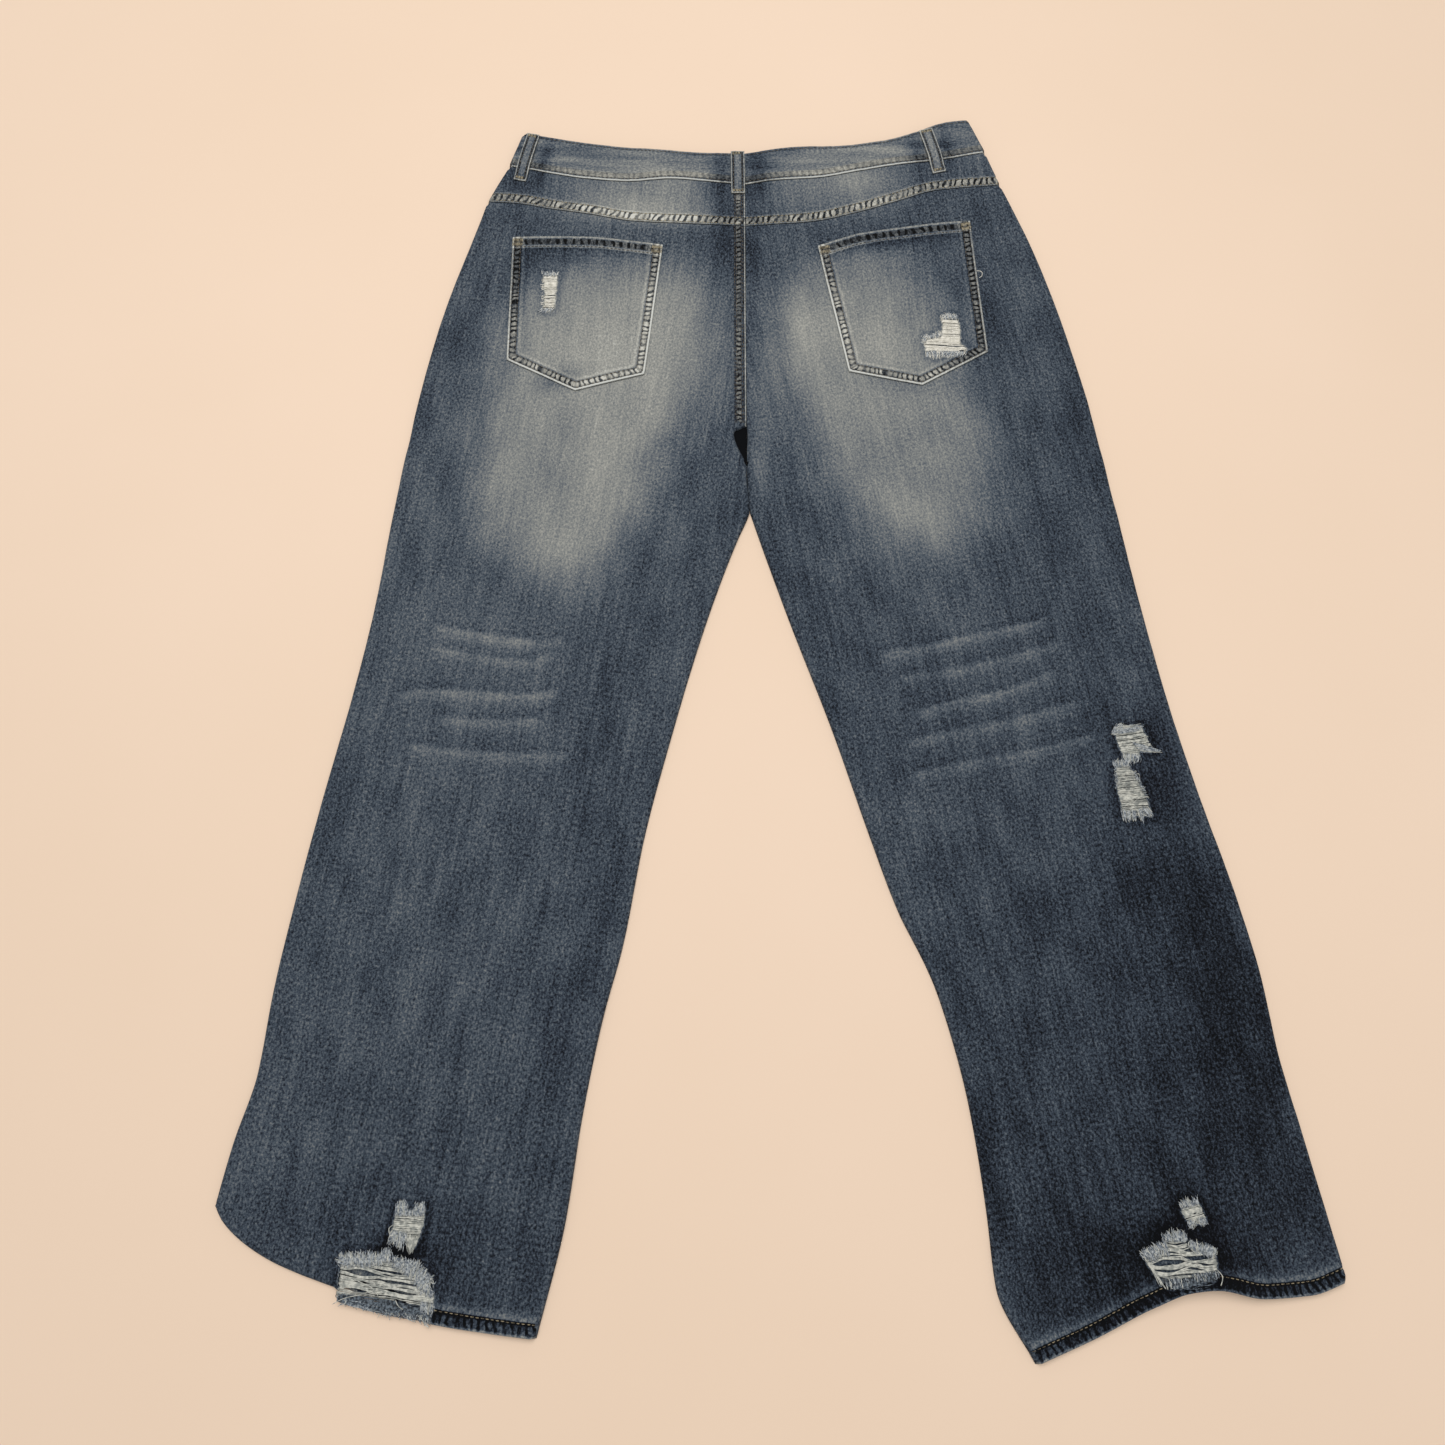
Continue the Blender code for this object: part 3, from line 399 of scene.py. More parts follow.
def nearest(line: Array, points: Array, reach: float = 24.0) -> tuple[Array, Array]:
    """Distance of each plan point from a polyline, and how far along it the nearest place is.

    Args:
        line: the polyline.
        points: plan points.
        reach: distance beyond which points are left out.

    Returns:
        Distances, AWAY for points that are left out, and places along the line.
    """
    run = runs(line)
    distance, place = np.full(len(points), AWAY), np.zeros(len(points))
    for start in range(0, len(line) - 1, 12):
        part = line[start:start + 13]
        within = np.all((points > part.min(axis=0) - reach) & (points < part.max(axis=0) + reach), axis=1)
        chosen = np.flatnonzero(within)
        if not len(chosen):
            continue
        local, best, where = points[chosen], distance[chosen], place[chosen]
        for k in range(len(part) - 1):
            d = part[k + 1] - part[k]
            t = np.clip(((local - part[k]) @ d) / max(d @ d, 1e-12), 0, 1)
            far = np.linalg.norm(local - (part[k] + t[:, None] * d), axis=1)
            closer = far < best
            best = np.where(closer, far, best)
            where = np.where(closer, run[start + k] + t * np.linalg.norm(d), where)
        distance[chosen], place[chosen] = best, where
    return distance, place


def distance_to(line: Array, points: Array, reach: float = 24.0) -> Array:
    """Distance of each plan point from a polyline, AWAY beyond the reach."""
    return nearest(line, points, reach)[0]


def inside(polygon: Array, points: Array) -> Array:
    """Tells which points lie in a polygon.

    Args:
        polygon: its corners.
        points: plan points.

    Returns:
        True for each point inside.
    """
    within = np.zeros(len(points), bool)
    for (x0, y0), (x1, y1) in zip(polygon, np.roll(polygon, -1, axis=0)):
        if y0 == y1:
            continue
        crosses = (points[:, 1] < y0) != (points[:, 1] < y1)
        within ^= crosses & (points[:, 0] < (x1 - x0) * (points[:, 1] - y0) / (y1 - y0) + x0)
    return within


@dataclass(frozen=True)
class Ripples:
    """A soft random field made of a few sine waves.

    Attributes:
        wavelength: mean wavelength in millimetres.
        waves: how many waves are added.
        seed: makes each field different and repeatable.
    """

    wavelength: float
    waves: int = 7
    seed: int = 1

    def at(self, x: Array, y: Array) -> Array:
        """Reads the field.

        Args:
            x, y: plan points.

        Returns:
            A value from about -1 to 1 at each point.
        """
        rng = np.random.default_rng(self.seed)
        total = np.zeros(np.shape(x))
        for _ in range(self.waves):
            turn = rng.uniform(0, 2 * math.pi)
            number = 2 * math.pi / (self.wavelength * rng.uniform(0.7, 1.5))
            total += np.sin((x * math.cos(turn) + y * math.sin(turn)) * number + rng.uniform(0, 6.3))
        return total / math.sqrt(self.waves)


# How the garment lies

class Lie:
    """Heights of the layers, in millimetres above the floor."""

    drift = Ripples(95, 6, 3)
    rumple = Ripples(34, 8, 5)

    @staticmethod
    def arch(x: Array, y: Array) -> Array:
        """How far both layers are lifted off the floor at the right hem."""
        reach = ((x - HEM_ARCH.x) / HEM_ARCH.width) ** 2 + ((y - HEM_ARCH.y) / HEM_ARCH.length) ** 2
        return np.maximum(HEM_ARCH.height * np.exp(-reach) - ARCH_CUT, 0.0)

    @staticmethod
    def waist(x: Array, y: Array) -> Array:
        """1 at the waist, where loops and button lift the front, and 0 on the legs."""
        seam = 475 + 50 * ((x - CENTRE_X) / 245) ** 2
        return smooth((y - (seam - 110)) / 95)

    @classmethod
    def front_floor(cls, x: Array, y: Array) -> Array:
        """Underside of the front layer."""
        return UNDER_LIFT * cls.waist(x, y) + cls.arch(x, y)

    @classmethod
    def back_inside(cls, x: Array, y: Array) -> Array:
        """Inside face of the back layer, with its folds and creases.

        Args:
            x, y: plan places in millimetres.

        Returns:
            The heights above the floor.
        """
        creases = sum(bell(fold, x, y) for fold in FOLDS + CREASES)
        waves = creases + 0.28 * cls.drift.at(x, y) + 0.12 * cls.rumple.at(x, y)
        return CLOTH + LAYER_SPACE + WAIST_SPACE * cls.waist(x, y) + cls.arch(x, y) + waves

    @classmethod
    def front_outside(cls, x: Array, y: Array) -> Array:
        """Upper face of the front layer."""
        return cls.front_floor(x, y) + CLOTH

    @classmethod
    def back_outside(cls, x: Array, y: Array) -> Array:
        """Outer face of the back layer."""
        return cls.back_inside(x, y) + CLOTH

    @classmethod
    def foot(cls, x: Array, y: Array) -> Array:
        """Where turned edges come down to: the floor, or the front at the crotch's notch."""
        notch = (np.abs(x - CENTRE_X) < NOTCH_REACH) & (y > NOTCH_Y)
        return np.where(notch, NOTCH_FLOOR, cls.arch(x, y))


def level(height: float) -> Height:
    """A level face."""
    return lambda x, y: np.full(np.shape(x), height)


# Edges of panels

class Mark(Enum):
    """The kinds of seam whose cloth is abraded in its own way."""

    YOKE = "yoke"
    CENTRE = "centre"
    POCKET = "pocket"
    MOUTH = "mouth"
    HEM = "hem"
    BAND = "band"
    CREST = "crest"
    LOOP = "loop"


@dataclass(frozen=True)
class EdgeStyle:
    """How one edge of a panel is finished.

    Attributes:
        mark: the kind of seam, if it is a sewn one.
        turned: the cloth turns down to the floor here, in a quarter round.
        rise: how much thicker the sewn band along the edge is.
        band: width of that band.
        lip: radius of the folded edge.
        rows: insets of the stitch rows, which sink into the cloth.
    """

    mark: Mark | None = None
    turned: bool = False
    rise: float = 0.0
    band: float = 0.0
    lip: float = 0.45
    rows: tuple[float, ...] = ()

    def insets(self) -> list[float]:
        """Finds where the mesh needs points.

        Returns:
            Distances in from the edge.
        """
        wanted = {0.0}
        if self.turned:
            wanted |= {EDGE_LIP}
            for degrees in (22, 40, 56, 70, 82, 90):
                wanted.add(EDGE_LIP + EDGE_RADIUS * (1 - math.cos(math.radians(degrees))))
        else:
            wanted |= {self.lip * share for share in (0.15, 0.45, 1.0)}
        for row in self.rows:
            wanted |= {row - 1.1, row - 0.5, row, row + 0.5, row + 1.1}
        if self.band:
            wanted |= {self.band - 1.5, self.band, self.band + 0.45, self.band + 1.1}
        return sorted(round(v, 3) for v in wanted if v >= 0)


PLAIN = EdgeStyle()
TURNED = EdgeStyle(turned=True)
HEMMED = EdgeStyle(Mark.HEM, rise=0.85, band=HEM_WIDTH, lip=0.8, rows=(HEM_WIDTH - 1.8,))
FLAT_HEM = EdgeStyle(Mark.HEM, lip=0.3)
YOKE_FOLD = EdgeStyle(Mark.YOKE, rise=0.9, band=YOKE_BAND, lip=0.8, rows=(1.6, 9.4))
CENTRE_FOLD = EdgeStyle(Mark.CENTRE, rise=0.9, band=CENTRE_BAND, lip=0.8, rows=(2.4, 4.2, 9.0, 10.7))
WAIST_FOLD = EdgeStyle(Mark.BAND, rise=0.25, band=4.5, lip=1.1, rows=(2.6,))
WAIST_CREST = EdgeStyle(Mark.CREST, rise=0.25, band=4.5, lip=1.1, rows=(2.8,))
POCKET_FOLD = EdgeStyle(Mark.POCKET, rise=0.5, band=10.5, lip=0.8, rows=(2.2, 8.4))
MOUTH_FOLD = EdgeStyle(Mark.MOUTH, rise=0.9, band=MOUTH_BAND, lip=1.0, rows=(12.0,))
LOOP_FOLD = EdgeStyle(Mark.LOOP, lip=0.7, rows=(2.6,))
LOOP_END = EdgeStyle(Mark.LOOP, lip=0.7)


@dataclass
class Edge:
    """One stretch of a panel's outline, with the panel on its left."""

    line: Array
    style: EdgeStyle = PLAIN


def edge(line: Sequence[Point] | Array, style: EdgeStyle = PLAIN, pitch: float = PITCH) -> Edge:
    """An edge with evenly spaced points."""
    return Edge(spaced(np.array(line, float), pitch), style)


def joined(edges: list[Edge]) -> list[Edge]:
    """Joins edges end to end, in the direction that keeps the panel on their left.

    Args:
        edges: the edges in order.

    Returns:
        The edges of a closed outline.
    """
    for before, after in zip(edges, edges[1:] + edges[:1]):
        after.line[0] = before.line[-1]
    x, y = np.concatenate([part.line[:-1] for part in edges]).T
    if np.sum(x * np.roll(y, -1) - np.roll(x, -1) * y) > 0:
        return edges
    return [Edge(part.line[::-1], part.style) for part in reversed(edges)]


@dataclass
class Panel:
    """A cut piece of cloth in plan, and the mesh of it.

    Attributes:
        name: the piece's name.
        edges: the outline, end to end, with the panel on the left.
        base: the outer face's height at plan points, without edges and seams.
        holes: outlines of the rips.
        zones: polygons that are meshed more finely, each with its pitch.
        thickness: the wall's thickness.
        grain: the warp's direction, in degrees to the left of straight up.
        wear: paleness at plan points, added to the denim's own: bleached fades and darker dye, and painted
            shade.
        pitch: spacing of the points in the open cloth.
    """

    name: str
    edges: list[Edge]
    base: Height
    holes: list[Array] = field(default_factory=list)
    zones: list[tuple[Array, float]] = field(default_factory=list)
    thickness: float = CLOTH
    grain: float = 0.0
    wear: Height = lambda x, y: np.zeros(np.shape(x))
    pitch: float = PITCH

    def face(self, lift: float) -> Top:
        """Height of the outer face, or of what lies on it."""
        return lambda plan: self.base(plan[:, 0], plan[:, 1]) + lift

    def outline(self) -> Array:
        """The closed outline's points in order."""
        return np.concatenate([edge.line[:-1] for edge in self.edges])

    def plan_points(self, outline: Array) -> Array:
        """Points inside the outline: rows along the edges, then an even fill.

        Args:
            outline: the closed outline.

        Returns:
            Plan points that aren't on the outline.
        """
        found = []
        depth = [edge.style.insets()[-1] for edge in self.edges]
        for k, edge in enumerate(self.edges):
            for inset in edge.style.insets()[1:]:
                row = offset_line(edge.line, inset)
                keep = distance_to(edge.line, row) > inset - 0.02
                for m, other in enumerate(self.edges):
                    if m != k:
                        keep &= distance_to(other.line, row) > min(0.6, inset * 0.5)
                found.append(row[keep])
        lo, hi = outline.min(axis=0), outline.max(axis=0)
        fills = [(outline, self.pitch)] + self.zones
        for number, (area, pitch) in enumerate(fills):
            a, b = np.maximum(area.min(axis=0), lo), np.minimum(area.max(axis=0), hi)
            xs = np.arange(a[0] + pitch * 0.37, b[0], pitch)
            ys = np.arange(a[1] + pitch * 0.41, b[1], pitch)
            gx, gy = np.meshgrid(xs, ys)
            gx = gx + (np.arange(len(ys)) % 2 * pitch / 2)[:, None]
            grid = np.stack([gx.ravel(), gy.ravel()], axis=1)
            keep = inside(area, grid) & inside(outline, grid)
            for finer, _ in fills[number + 1:]:
                keep &= ~inside(finer, grid)
            grid = grid[keep]
            for edge, d in zip(self.edges, depth):
                grid = grid[distance_to(edge.line, grid) > d + pitch * 0.45]
            found.append(grid)
        points = np.concatenate(found)
        points = points[inside(outline, points)]
        for hole in self.holes:
            points = points[~inside(hole, points) & (distance_to(closed(hole), points) > 0.5)]
        return points

    def triangulate(self) -> tuple[Array, Array]:
        """Triangulates the panel in plan.

        Returns:
            Plan points and triangles.
        """
        outline = self.outline()
        rings = [outline, *self.holes]
        points = np.concatenate([*rings, self.plan_points(outline)])
        links, start = [], 0
        for ring in rings:
            n = len(ring)
            links += [(start + k, start + (k + 1) % n) for k in range(n)]
            start += n
        result = delaunay_2d_cdt([Vector(p) for p in points], links, [], 0, 1e-4)
        plan = np.array([v[:] for v in result[0]])
        faces = np.array([f for f in result[2] if len(f) == 3])
        middle = plan[faces].mean(axis=1)
        keep = inside(outline, middle)
        for hole in self.holes:
            keep &= ~inside(hole, middle)
        faces = faces[keep]
        used = np.unique(faces)
        index = np.zeros(len(plan), int)
        index[used] = np.arange(len(used))
        return plan[used], index[faces]

    def heights(self, plan: Array) -> tuple[Array, dict[str, Array]]:
        """Heights of the outer face, and where each point lies along and in from the seams.

        Args:
            plan: plan points.

        Returns:
            Height of each point, and for each mark the distance from its seam and the place along it.
        """
        x, y = plan[:, 0], plan[:, 1]
        top = self.base(x, y)
        rise, lip, sink = np.zeros(len(x)), np.zeros(len(x)), np.zeros(len(x))
        seams = {}
        for mark in Mark:
            seams[mark.value + "_in"], seams[mark.value + "_run"] = np.full(len(x), FAR), np.zeros(len(x))
        turned = np.full(len(x), AWAY)
        pucker = Ripples(11, 8, 11).at(x, y)
        for number, edge in enumerate(self.edges):
            d, run = nearest(edge.line, plan)
            d = np.where((d > 2) & ((run < 1e-3) | (run > length_of(edge.line) - 1e-3)), AWAY, d)
            style = edge.style
            if style.turned:
                turned = np.minimum(turned, distance_to(edge.line, plan))
                continue
            if style.band:
                rise = np.maximum(rise, style.rise * (1 - smooth((d - style.band) / 0.9)))
            for row in style.rows:
                sink = np.maximum(sink, (0.22 + 0.1 * pucker) * np.exp(-(((d - row) / 0.9) ** 2)))
            if style.rows:
                rise = rise + 0.14 * pucker * np.exp(-(((d - max(style.rows)) / 7) ** 2))
            r = style.lip
            drop = np.where(d < r, r - np.sqrt(np.maximum(r * r - (r - np.minimum(d, r)) ** 2, 0)), 0)
            lip = np.maximum(lip, drop)
            if style.mark:
                mark = style.mark.value
                closer = d < seams[mark + "_in"]
                seams[mark + "_in"] = np.where(closer, d, seams[mark + "_in"])
                seams[mark + "_run"] = np.where(closer, run + RUN_SHIFT * number, seams[mark + "_run"])
        near = turned < EDGE_LIP + EDGE_RADIUS
        rise = rise * smooth((turned - 1.0) / 5.0)
        z = top + rise - lip - sink
        foot = Lie.foot(x, y)
        inset = np.clip(turned - EDGE_LIP, 0.0, EDGE_RADIUS)
        arc = z - EDGE_RADIUS + np.sqrt(EDGE_RADIUS**2 - (EDGE_RADIUS - inset) ** 2)
        low = foot + (z - EDGE_RADIUS - foot) * np.clip(turned / EDGE_LIP, 0.0, 1.0)
        z = np.where(near, np.where(turned < EDGE_LIP, low, arc), z)
        return z, seams

    def build(self) -> Object:
        """Makes the panel's thin shell, with what its finish reads.

        Returns:
            The shell.
        """
        plan, faces = self.triangulate()
        z, seams = self.heights(plan)
        torn = np.full(len(plan), FAR)
        for hole in self.holes:
            torn = np.minimum(torn, distance_to(closed(hole), plan))
        points, faces = self.wall(np.column_stack([plan, z]), faces)
        shell = Shop.mesh(self.name, points, faces.tolist())
        seams.update(wear=self.wear(plan[:, 0], plan[:, 1]), torn=torn)
        for name, values in seams.items():
            Shop.attribute(shell, name, np.tile(values, 2))
        Shop.grain(shell, np.tile(plan, (2, 1)), self.grain)
        return shell

    def wall(self, outer: Array, faces: Array) -> tuple[Array, Array]:
        """Gives the outer face its inner one and the rim between them.

        Args:
            outer: points of the outer face.
            faces: its triangles.

        Returns:
            Points and triangles of the closed wall.
        """
        a, b, c = (outer[faces[:, k]] for k in range(3))
        across = np.cross(b - a, c - a)
        if across[:, 2].sum() < 0:
            faces, across = faces[:, ::-1], -across
        normal = np.zeros_like(outer)
        for k in range(3):
            np.add.at(normal, faces[:, k], across)
        inner = outer - unit(normal) * self.thickness
        inner[:, 2] = np.maximum(inner[:, 2], 0.0)
        sides = np.concatenate([faces[:, [0, 1]], faces[:, [1, 2]], faces[:, [2, 0]]])
        count = len(outer)
        code = sides[:, 0] * count + sides[:, 1]
        rim = sides[~np.isin(code, sides[:, 1] * count + sides[:, 0])]
        p, q = rim[:, 0], rim[:, 1]
        skirt = np.concatenate([np.stack([q, p, p + count], 1), np.stack([q, p + count, q + count], 1)])
        return np.concatenate([outer, inner]), np.concatenate([faces, faces[:, ::-1] + count, skirt])


class Shop:
    """Makes mesh objects from points in the pattern's axes."""

    shift = Vector((0, 0, 0))

    @classmethod
    def settle(cls) -> None:
        """Finds where the pattern's axes lie in the CAD model's frame, from its button."""
        low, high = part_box("button_waist")
        middle = (Vector(low) + Vector(high)) / 2
        cls.shift = Vector((middle.x - BUTTON_AT[0] * MM, middle.y - BUTTON_AT[1] * MM, 0))

    @classmethod
    def mesh(cls, name: str, points: Array, faces: Sequence[Sequence[int]]) -> Object:
        """A smooth-shaded mesh object.

        Args:
            name: the object's name.
            points: points in millimetres in the pattern's axes.
            faces: corner indices of each face.

        Returns:
            The object, linked to the scene.
        """
        data = bpy.data.meshes.new(name)
        data.from_pydata((points * MM + np.array(cls.shift)).tolist(), [], faces)
        data.shade_smooth()
        return cls.place(name, data)

    @staticmethod
    def place(name: str, data: bpy.types.ID) -> Object:
        """Makes an object and links it to the scene.

        Args:
            name: its name.
            data: its mesh, lamp or camera.

        Returns:
            The object.
        """
        thing = bpy.data.objects.new(name, data)
        bpy.context.scene.collection.objects.link(thing)
        return thing

    @staticmethod
    def attribute(thing: Object, name: str, values: Array) -> None:
        """Stores one number for each vertex."""
        layer = thing.data.attributes.new(name, "FLOAT", "POINT")
        layer.data.foreach_set("value", np.asarray(values, np.float32))

    @staticmethod
    def grain(thing: Object, plan: Array, degrees: float) -> None:
        """Lays a map in metres on the piece, with v along the warp.

        Args:
            thing: the piece.
            plan: its vertices in plan.
            degrees: the warp's direction, to the left of straight up.
        """
        c, s = math.cos(math.radians(degrees)), math.sin(math.radians(degrees))
        u = (plan[:, 0] * c + plan[:, 1] * s) * MM
        v = (-plan[:, 0] * s + plan[:, 1] * c) * MM
        corners = np.zeros(len(thing.data.loops), int)
        thing.data.loops.foreach_get("vertex_index", corners)
        layer = thing.data.uv_layers.new(name="cloth")
        layer.data.foreach_set("uv", np.column_stack([u, v])[corners].ravel())

    @classmethod
    def strands(cls, name: str, paths: Sequence[Array], radii: Sequence[float], sides: int = 5) -> Object:
        """One mesh of many thin tubes with tapered ends.

        Args:
            name: the object's name.
            paths: each strand's points, in millimetres.
            radii: each strand's radius.
            sides: sides of the tubes.

        Returns:
            The mesh object.
        """
        points, faces, count = [], [], 0
        turn = np.linspace(0, 2 * math.pi, sides, endpoint=False)
        for path, radius in zip(paths, radii):
            n = len(path)
            step = unit(np.gradient(path, axis=0))
            side = unit(np.cross(step, (0.0, 0.0, 1.0)))
            rise = np.cross(side, step)
            taper = np.ones(n)
            taper[0] = taper[-1] = STRAND_TAPER
            ring = side[:, None] * np.cos(turn)[:, None] + rise[:, None] * np.sin(turn)[:, None]
            points.append((path[:, None] + ring * (radius * taper)[:, None, None]).reshape(-1, 3))
            k = np.arange(n - 1)[:, None] * sides + np.arange(sides)
            m = np.arange(n - 1)[:, None] * sides + (np.arange(sides) + 1) % sides
            faces += (np.stack([k, m, m + sides, k + sides], axis=-1).reshape(-1, 4) + count).tolist()
            faces.append([count + s for s in range(sides - 1, -1, -1)])
            faces.append([count + (n - 1) * sides + s for s in range(sides)])
            count += n * sides
        return cls.mesh(name, np.concatenate(points), faces)


class Surface:
    """Reads heights from finished pieces, so that what lies on them touches."""

    def __init__(self, *things: Object) -> None:
        """Builds one search tree.

        Args:
            things: the pieces.
        """
        vertices, faces = [], []
        for thing in things:
            offset = len(vertices)
            vertices += [v.co.copy() for v in thing.data.vertices]
            faces += [[offset + k for k in p.vertices] for p in thing.data.polygons]
        self.tree = BVHTree.FromPolygons(vertices, faces)

    def heights(self, plan: Array) -> Array:
        """Finds the pieces' highest points.

        Args:
            plan: plan points.

        Returns:
            The height at each, in millimetres, and 0 beside the pieces.
        """
        found = []
        for x, y in plan:
            origin = Vector((x * MM, y * MM, 0.2)) + Shop.shift
            hit = self.tree.ray_cast(origin, Vector((0, 0, -1)))[0]
            found.append(0.0 if hit is None else hit.z / MM)
        return np.array(found)


# Finishes

class Graph:
    """A material's node tree, with one way to add a node."""

    def __init__(self, name: str) -> None:
        """Starts an empty material.

        Args:
            name: its name.
        """
        self.material = bpy.data.materials.new(name)
        self.material.use_nodes = True
        self.tree = self.material.node_tree
        self.tree.nodes.clear()

    def add(self, kind: str, settings: dict | None = None, **inputs: object) -> bpy.types.Node:
        """Adds a node with its settings and links.

        Args:
            kind: the node's type without its ShaderNode prefix.
            settings: attributes set on the node.
            inputs: socket names, with spaces as underscores, or sN for socket number N.

        Returns:
            The new node.
        """
        node = self.tree.nodes.new("ShaderNode" + kind)
        for key, value in (settings or {}).items():
            setattr(node, key, value)
        for key, value in inputs.items():
            socket = node.inputs[int(key[1:])] if key[1:].isdigit() else node.inputs[key.replace("_", " ")]
            if isinstance(value, Socket):
                self.tree.links.new(value, socket)
            else:
                socket.default_value = value
        return node

    def math(self, operation: str, a: object, b: object = 0.0) -> Socket:
        """Result of one sum on two numbers."""
        return self.add("Math", {"operation": operation}, s0=a, s1=b).outputs[0]

    def read(self, name: str) -> Socket:
        """A number that the mesh holds for each vertex."""
        return self.add("Attribute", {"attribute_name": name}).outputs["Fac"]

    def turn(self, vector: Socket, degrees: float) -> Socket:
        """The cloth's map turned about its origin."""
        node = self.add("VectorRotate", {"rotation_type": "Z_AXIS"}, Vector=vector,
                        Angle=math.radians(degrees))
        return node.outputs[0]

    def ramp(self, value: object, stops: Sequence[tuple[float, tuple]]) -> Socket:
        """Colour read from a ramp.

        Args:
            value: the socket that picks the place on the ramp.
            stops: position and colour of each stop.

        Returns:
            The colour socket.
        """
        node = self.add("ValToRGB", s0=value)
        elements = node.color_ramp.elements
        while len(elements) < len(stops):
            elements.new(0.5)
        for element, (position, colour) in zip(elements, stops):
            element.position = position
            element.color = colour
        return node.outputs["Color"]

    def span(self, value: object, low: float, high: float, start: float = 0.0, end: float = 1.0) -> Socket:
        """A value mapped from one range to another, clamped, with soft ends."""
        smoothed = {"interpolation_type": "SMOOTHSTEP"}
        return self.add("MapRange", smoothed, s0=value, s1=low, s2=high, s3=start, s4=end).outputs[0]

    def noise(self, vector: object, pitch_u: float, pitch_v: float, detail: float = 2.0) -> Socket:
        """Noise on the cloth's map with cells of the given size.

        Args:
            vector: the map, in metres.
            pitch_u: cell size across the warp, in millimetres.
            pitch_v: cell size along the warp, in millimetres.
            detail: octaves of finer detail.

        Returns:
            The noise, about 0.5 on average.
        """
        scale = (1 / (pitch_u * MM), 1 / (pitch_v * MM), 1)
        placed = self.add("VectorMath", {"operation": "MULTIPLY"}, s0=vector, s1=scale).outputs[0]
        return self.add("TexNoise", {"noise_dimensions": "2D"}, Vector=placed, Scale=1.0,
                        Detail=detail).outputs[0]

    def mix(self, share: object, first: object, second: object) -> Socket:
        """Two colours mixed by a share."""
        return self.add("Mix", {"data_type": "RGBA"}, s0=share, s6=first, s7=second).outputs[2]

    def finish(self, shader: bpy.types.Node, **constants: float) -> Material:
        """Sets what is constant on the shader and links it to the output.

        Args:
            shader: the shader's node.
            constants: socket names, with spaces as underscores, and their values.

        Returns:
            The material.
        """
        for key, value in constants.items():
            shader.inputs[key.replace("_", " ")].default_value = value
        self.add("OutputMaterial", Surface=shader.outputs[0])
        return self.material


@dataclass(frozen=True)
class Abrasion:
    """How the cloth along one kind of seam is rubbed.

    Attributes:
        mark: the kind of seam.
        profile: distance in from the seam, in millimetres, and the paleness added there.
        beads: from where to where pale beads lie between dark hollows.
        strength: how much paler and darker they are.
        pitch: their spacing along the seam.
        slant: how far they lean over, in millimetres along the seam for each one across.
    """

    mark: Mark
    profile: Line
    beads: Point = (0.0, 0.0)
    strength: float = 0.0
    pitch: float = 5.5
    slant: float = 0.15


# Pitch in metres and slope of the twill's lines
TWILL_PITCH = 0.0011
TWILL_ANGLE = 32.0

# Reach of a seam's rubbing, and size of its uneven patches
RUB_REACH = 24.0
DRIFT_SIZE = 14.0
YOKE_RUB = Abrasion(
    Mark.YOKE, ((0, 0.2), (0.8, 0.24), (1.5, -0.03), (2.6, 0.1), (7.8, 0.12), (9.0, -0.04), (9.8, -0.02),
                (10.8, 0.24), (11.8, 0.04), (14, 0)), (1.6, 9.4), 0.28, 6.4, -0.4)
CENTRE_RUB = Abrasion(
    Mark.CENTRE, ((0, 0.5), (0.8, 0.4), (1.6, -0.2), (3.4, -0.06), (4.4, -0.14), (5.6, -0.02), (9.0, -0.02),
                  (10.3, -0.18), (11.4, -0.06), (12.6, 0.06), (14, 0)), (4.4, 9.4), 0.2, 5.4)
POCKET_RUB = Abrasion(
    Mark.POCKET, ((0, 0.45), (1.5, 0.4), (2.3, -0.3), (3.4, -0.16), (4.4, 0), (6.6, 0), (7.8, -0.18),
                  (9.4, -0.14), (10.6, 0.1), (11.8, 0.12), (14, 0)), (2.6, 8.6), 0.24, 5.6, 0.1)
MOUTH_RUB = Abrasion(
    Mark.MOUTH, ((0, 0.32), (2.0, 0.32), (3.0, 0.02), (4.4, -0.15), (8.0, -0.17), (9.6, -0.08), (11.0, 0.2),
                 (12.8, 0.22), (14.0, -0.08), (19, -0.03), (24, 0)), (3.4, 9.8), 0.18, 8.0)
HEM_RUB = Abrasion(
    Mark.HEM, ((0, 0.3), (1.2, 0.2), (2.4, -0.08), (8.2, -0.18), (9.4, -0.32), (10.9, -0.32), (11.8, 0.16),
               (13.4, 0.2), (16, 0.07), (21, 0)), (1.0, 8.8), 0.13, 6.2, 0.2)
BAND_RUB = Abrasion(
    Mark.BAND, ((0, 0.55), (0.8, 0.45), (1.4, -0.14), (2.8, -0.12), (3.8, 0.05), (8, 0.06), (15, 0)),
    (2.4, 9.0), 0.07, 7.0)
CREST_RUB = Abrasion(Mark.CREST, ((0, 0.1), (1.2, 0.06), (2.4, -0.12), (3.4, -0.08), (5, 0.0), (9, 0)))
LOOP_RUB = Abrasion(
    Mark.LOOP, ((0, 0.45), (0.9, 0.35), (1.5, -0.16), (2.8, -0.26), (3.8, 0.06), (7, 0.12)),
    (1.6, 3.4), 0.12, 3.0)

# Denim rendered from raw indigo to bleached weft, darkest first
INDIGO = (
    (0.0, "06080C"), (0.1, "151921"), (0.2, "282F3A"), (0.3, "3B4552"), (0.4, "505A65"), (0.5, "676D74"),
    (0.62, "808485"), (0.76, "9C9D99"), (0.88, "B6B8B3"), (1.0, "CFD2CF"),
)

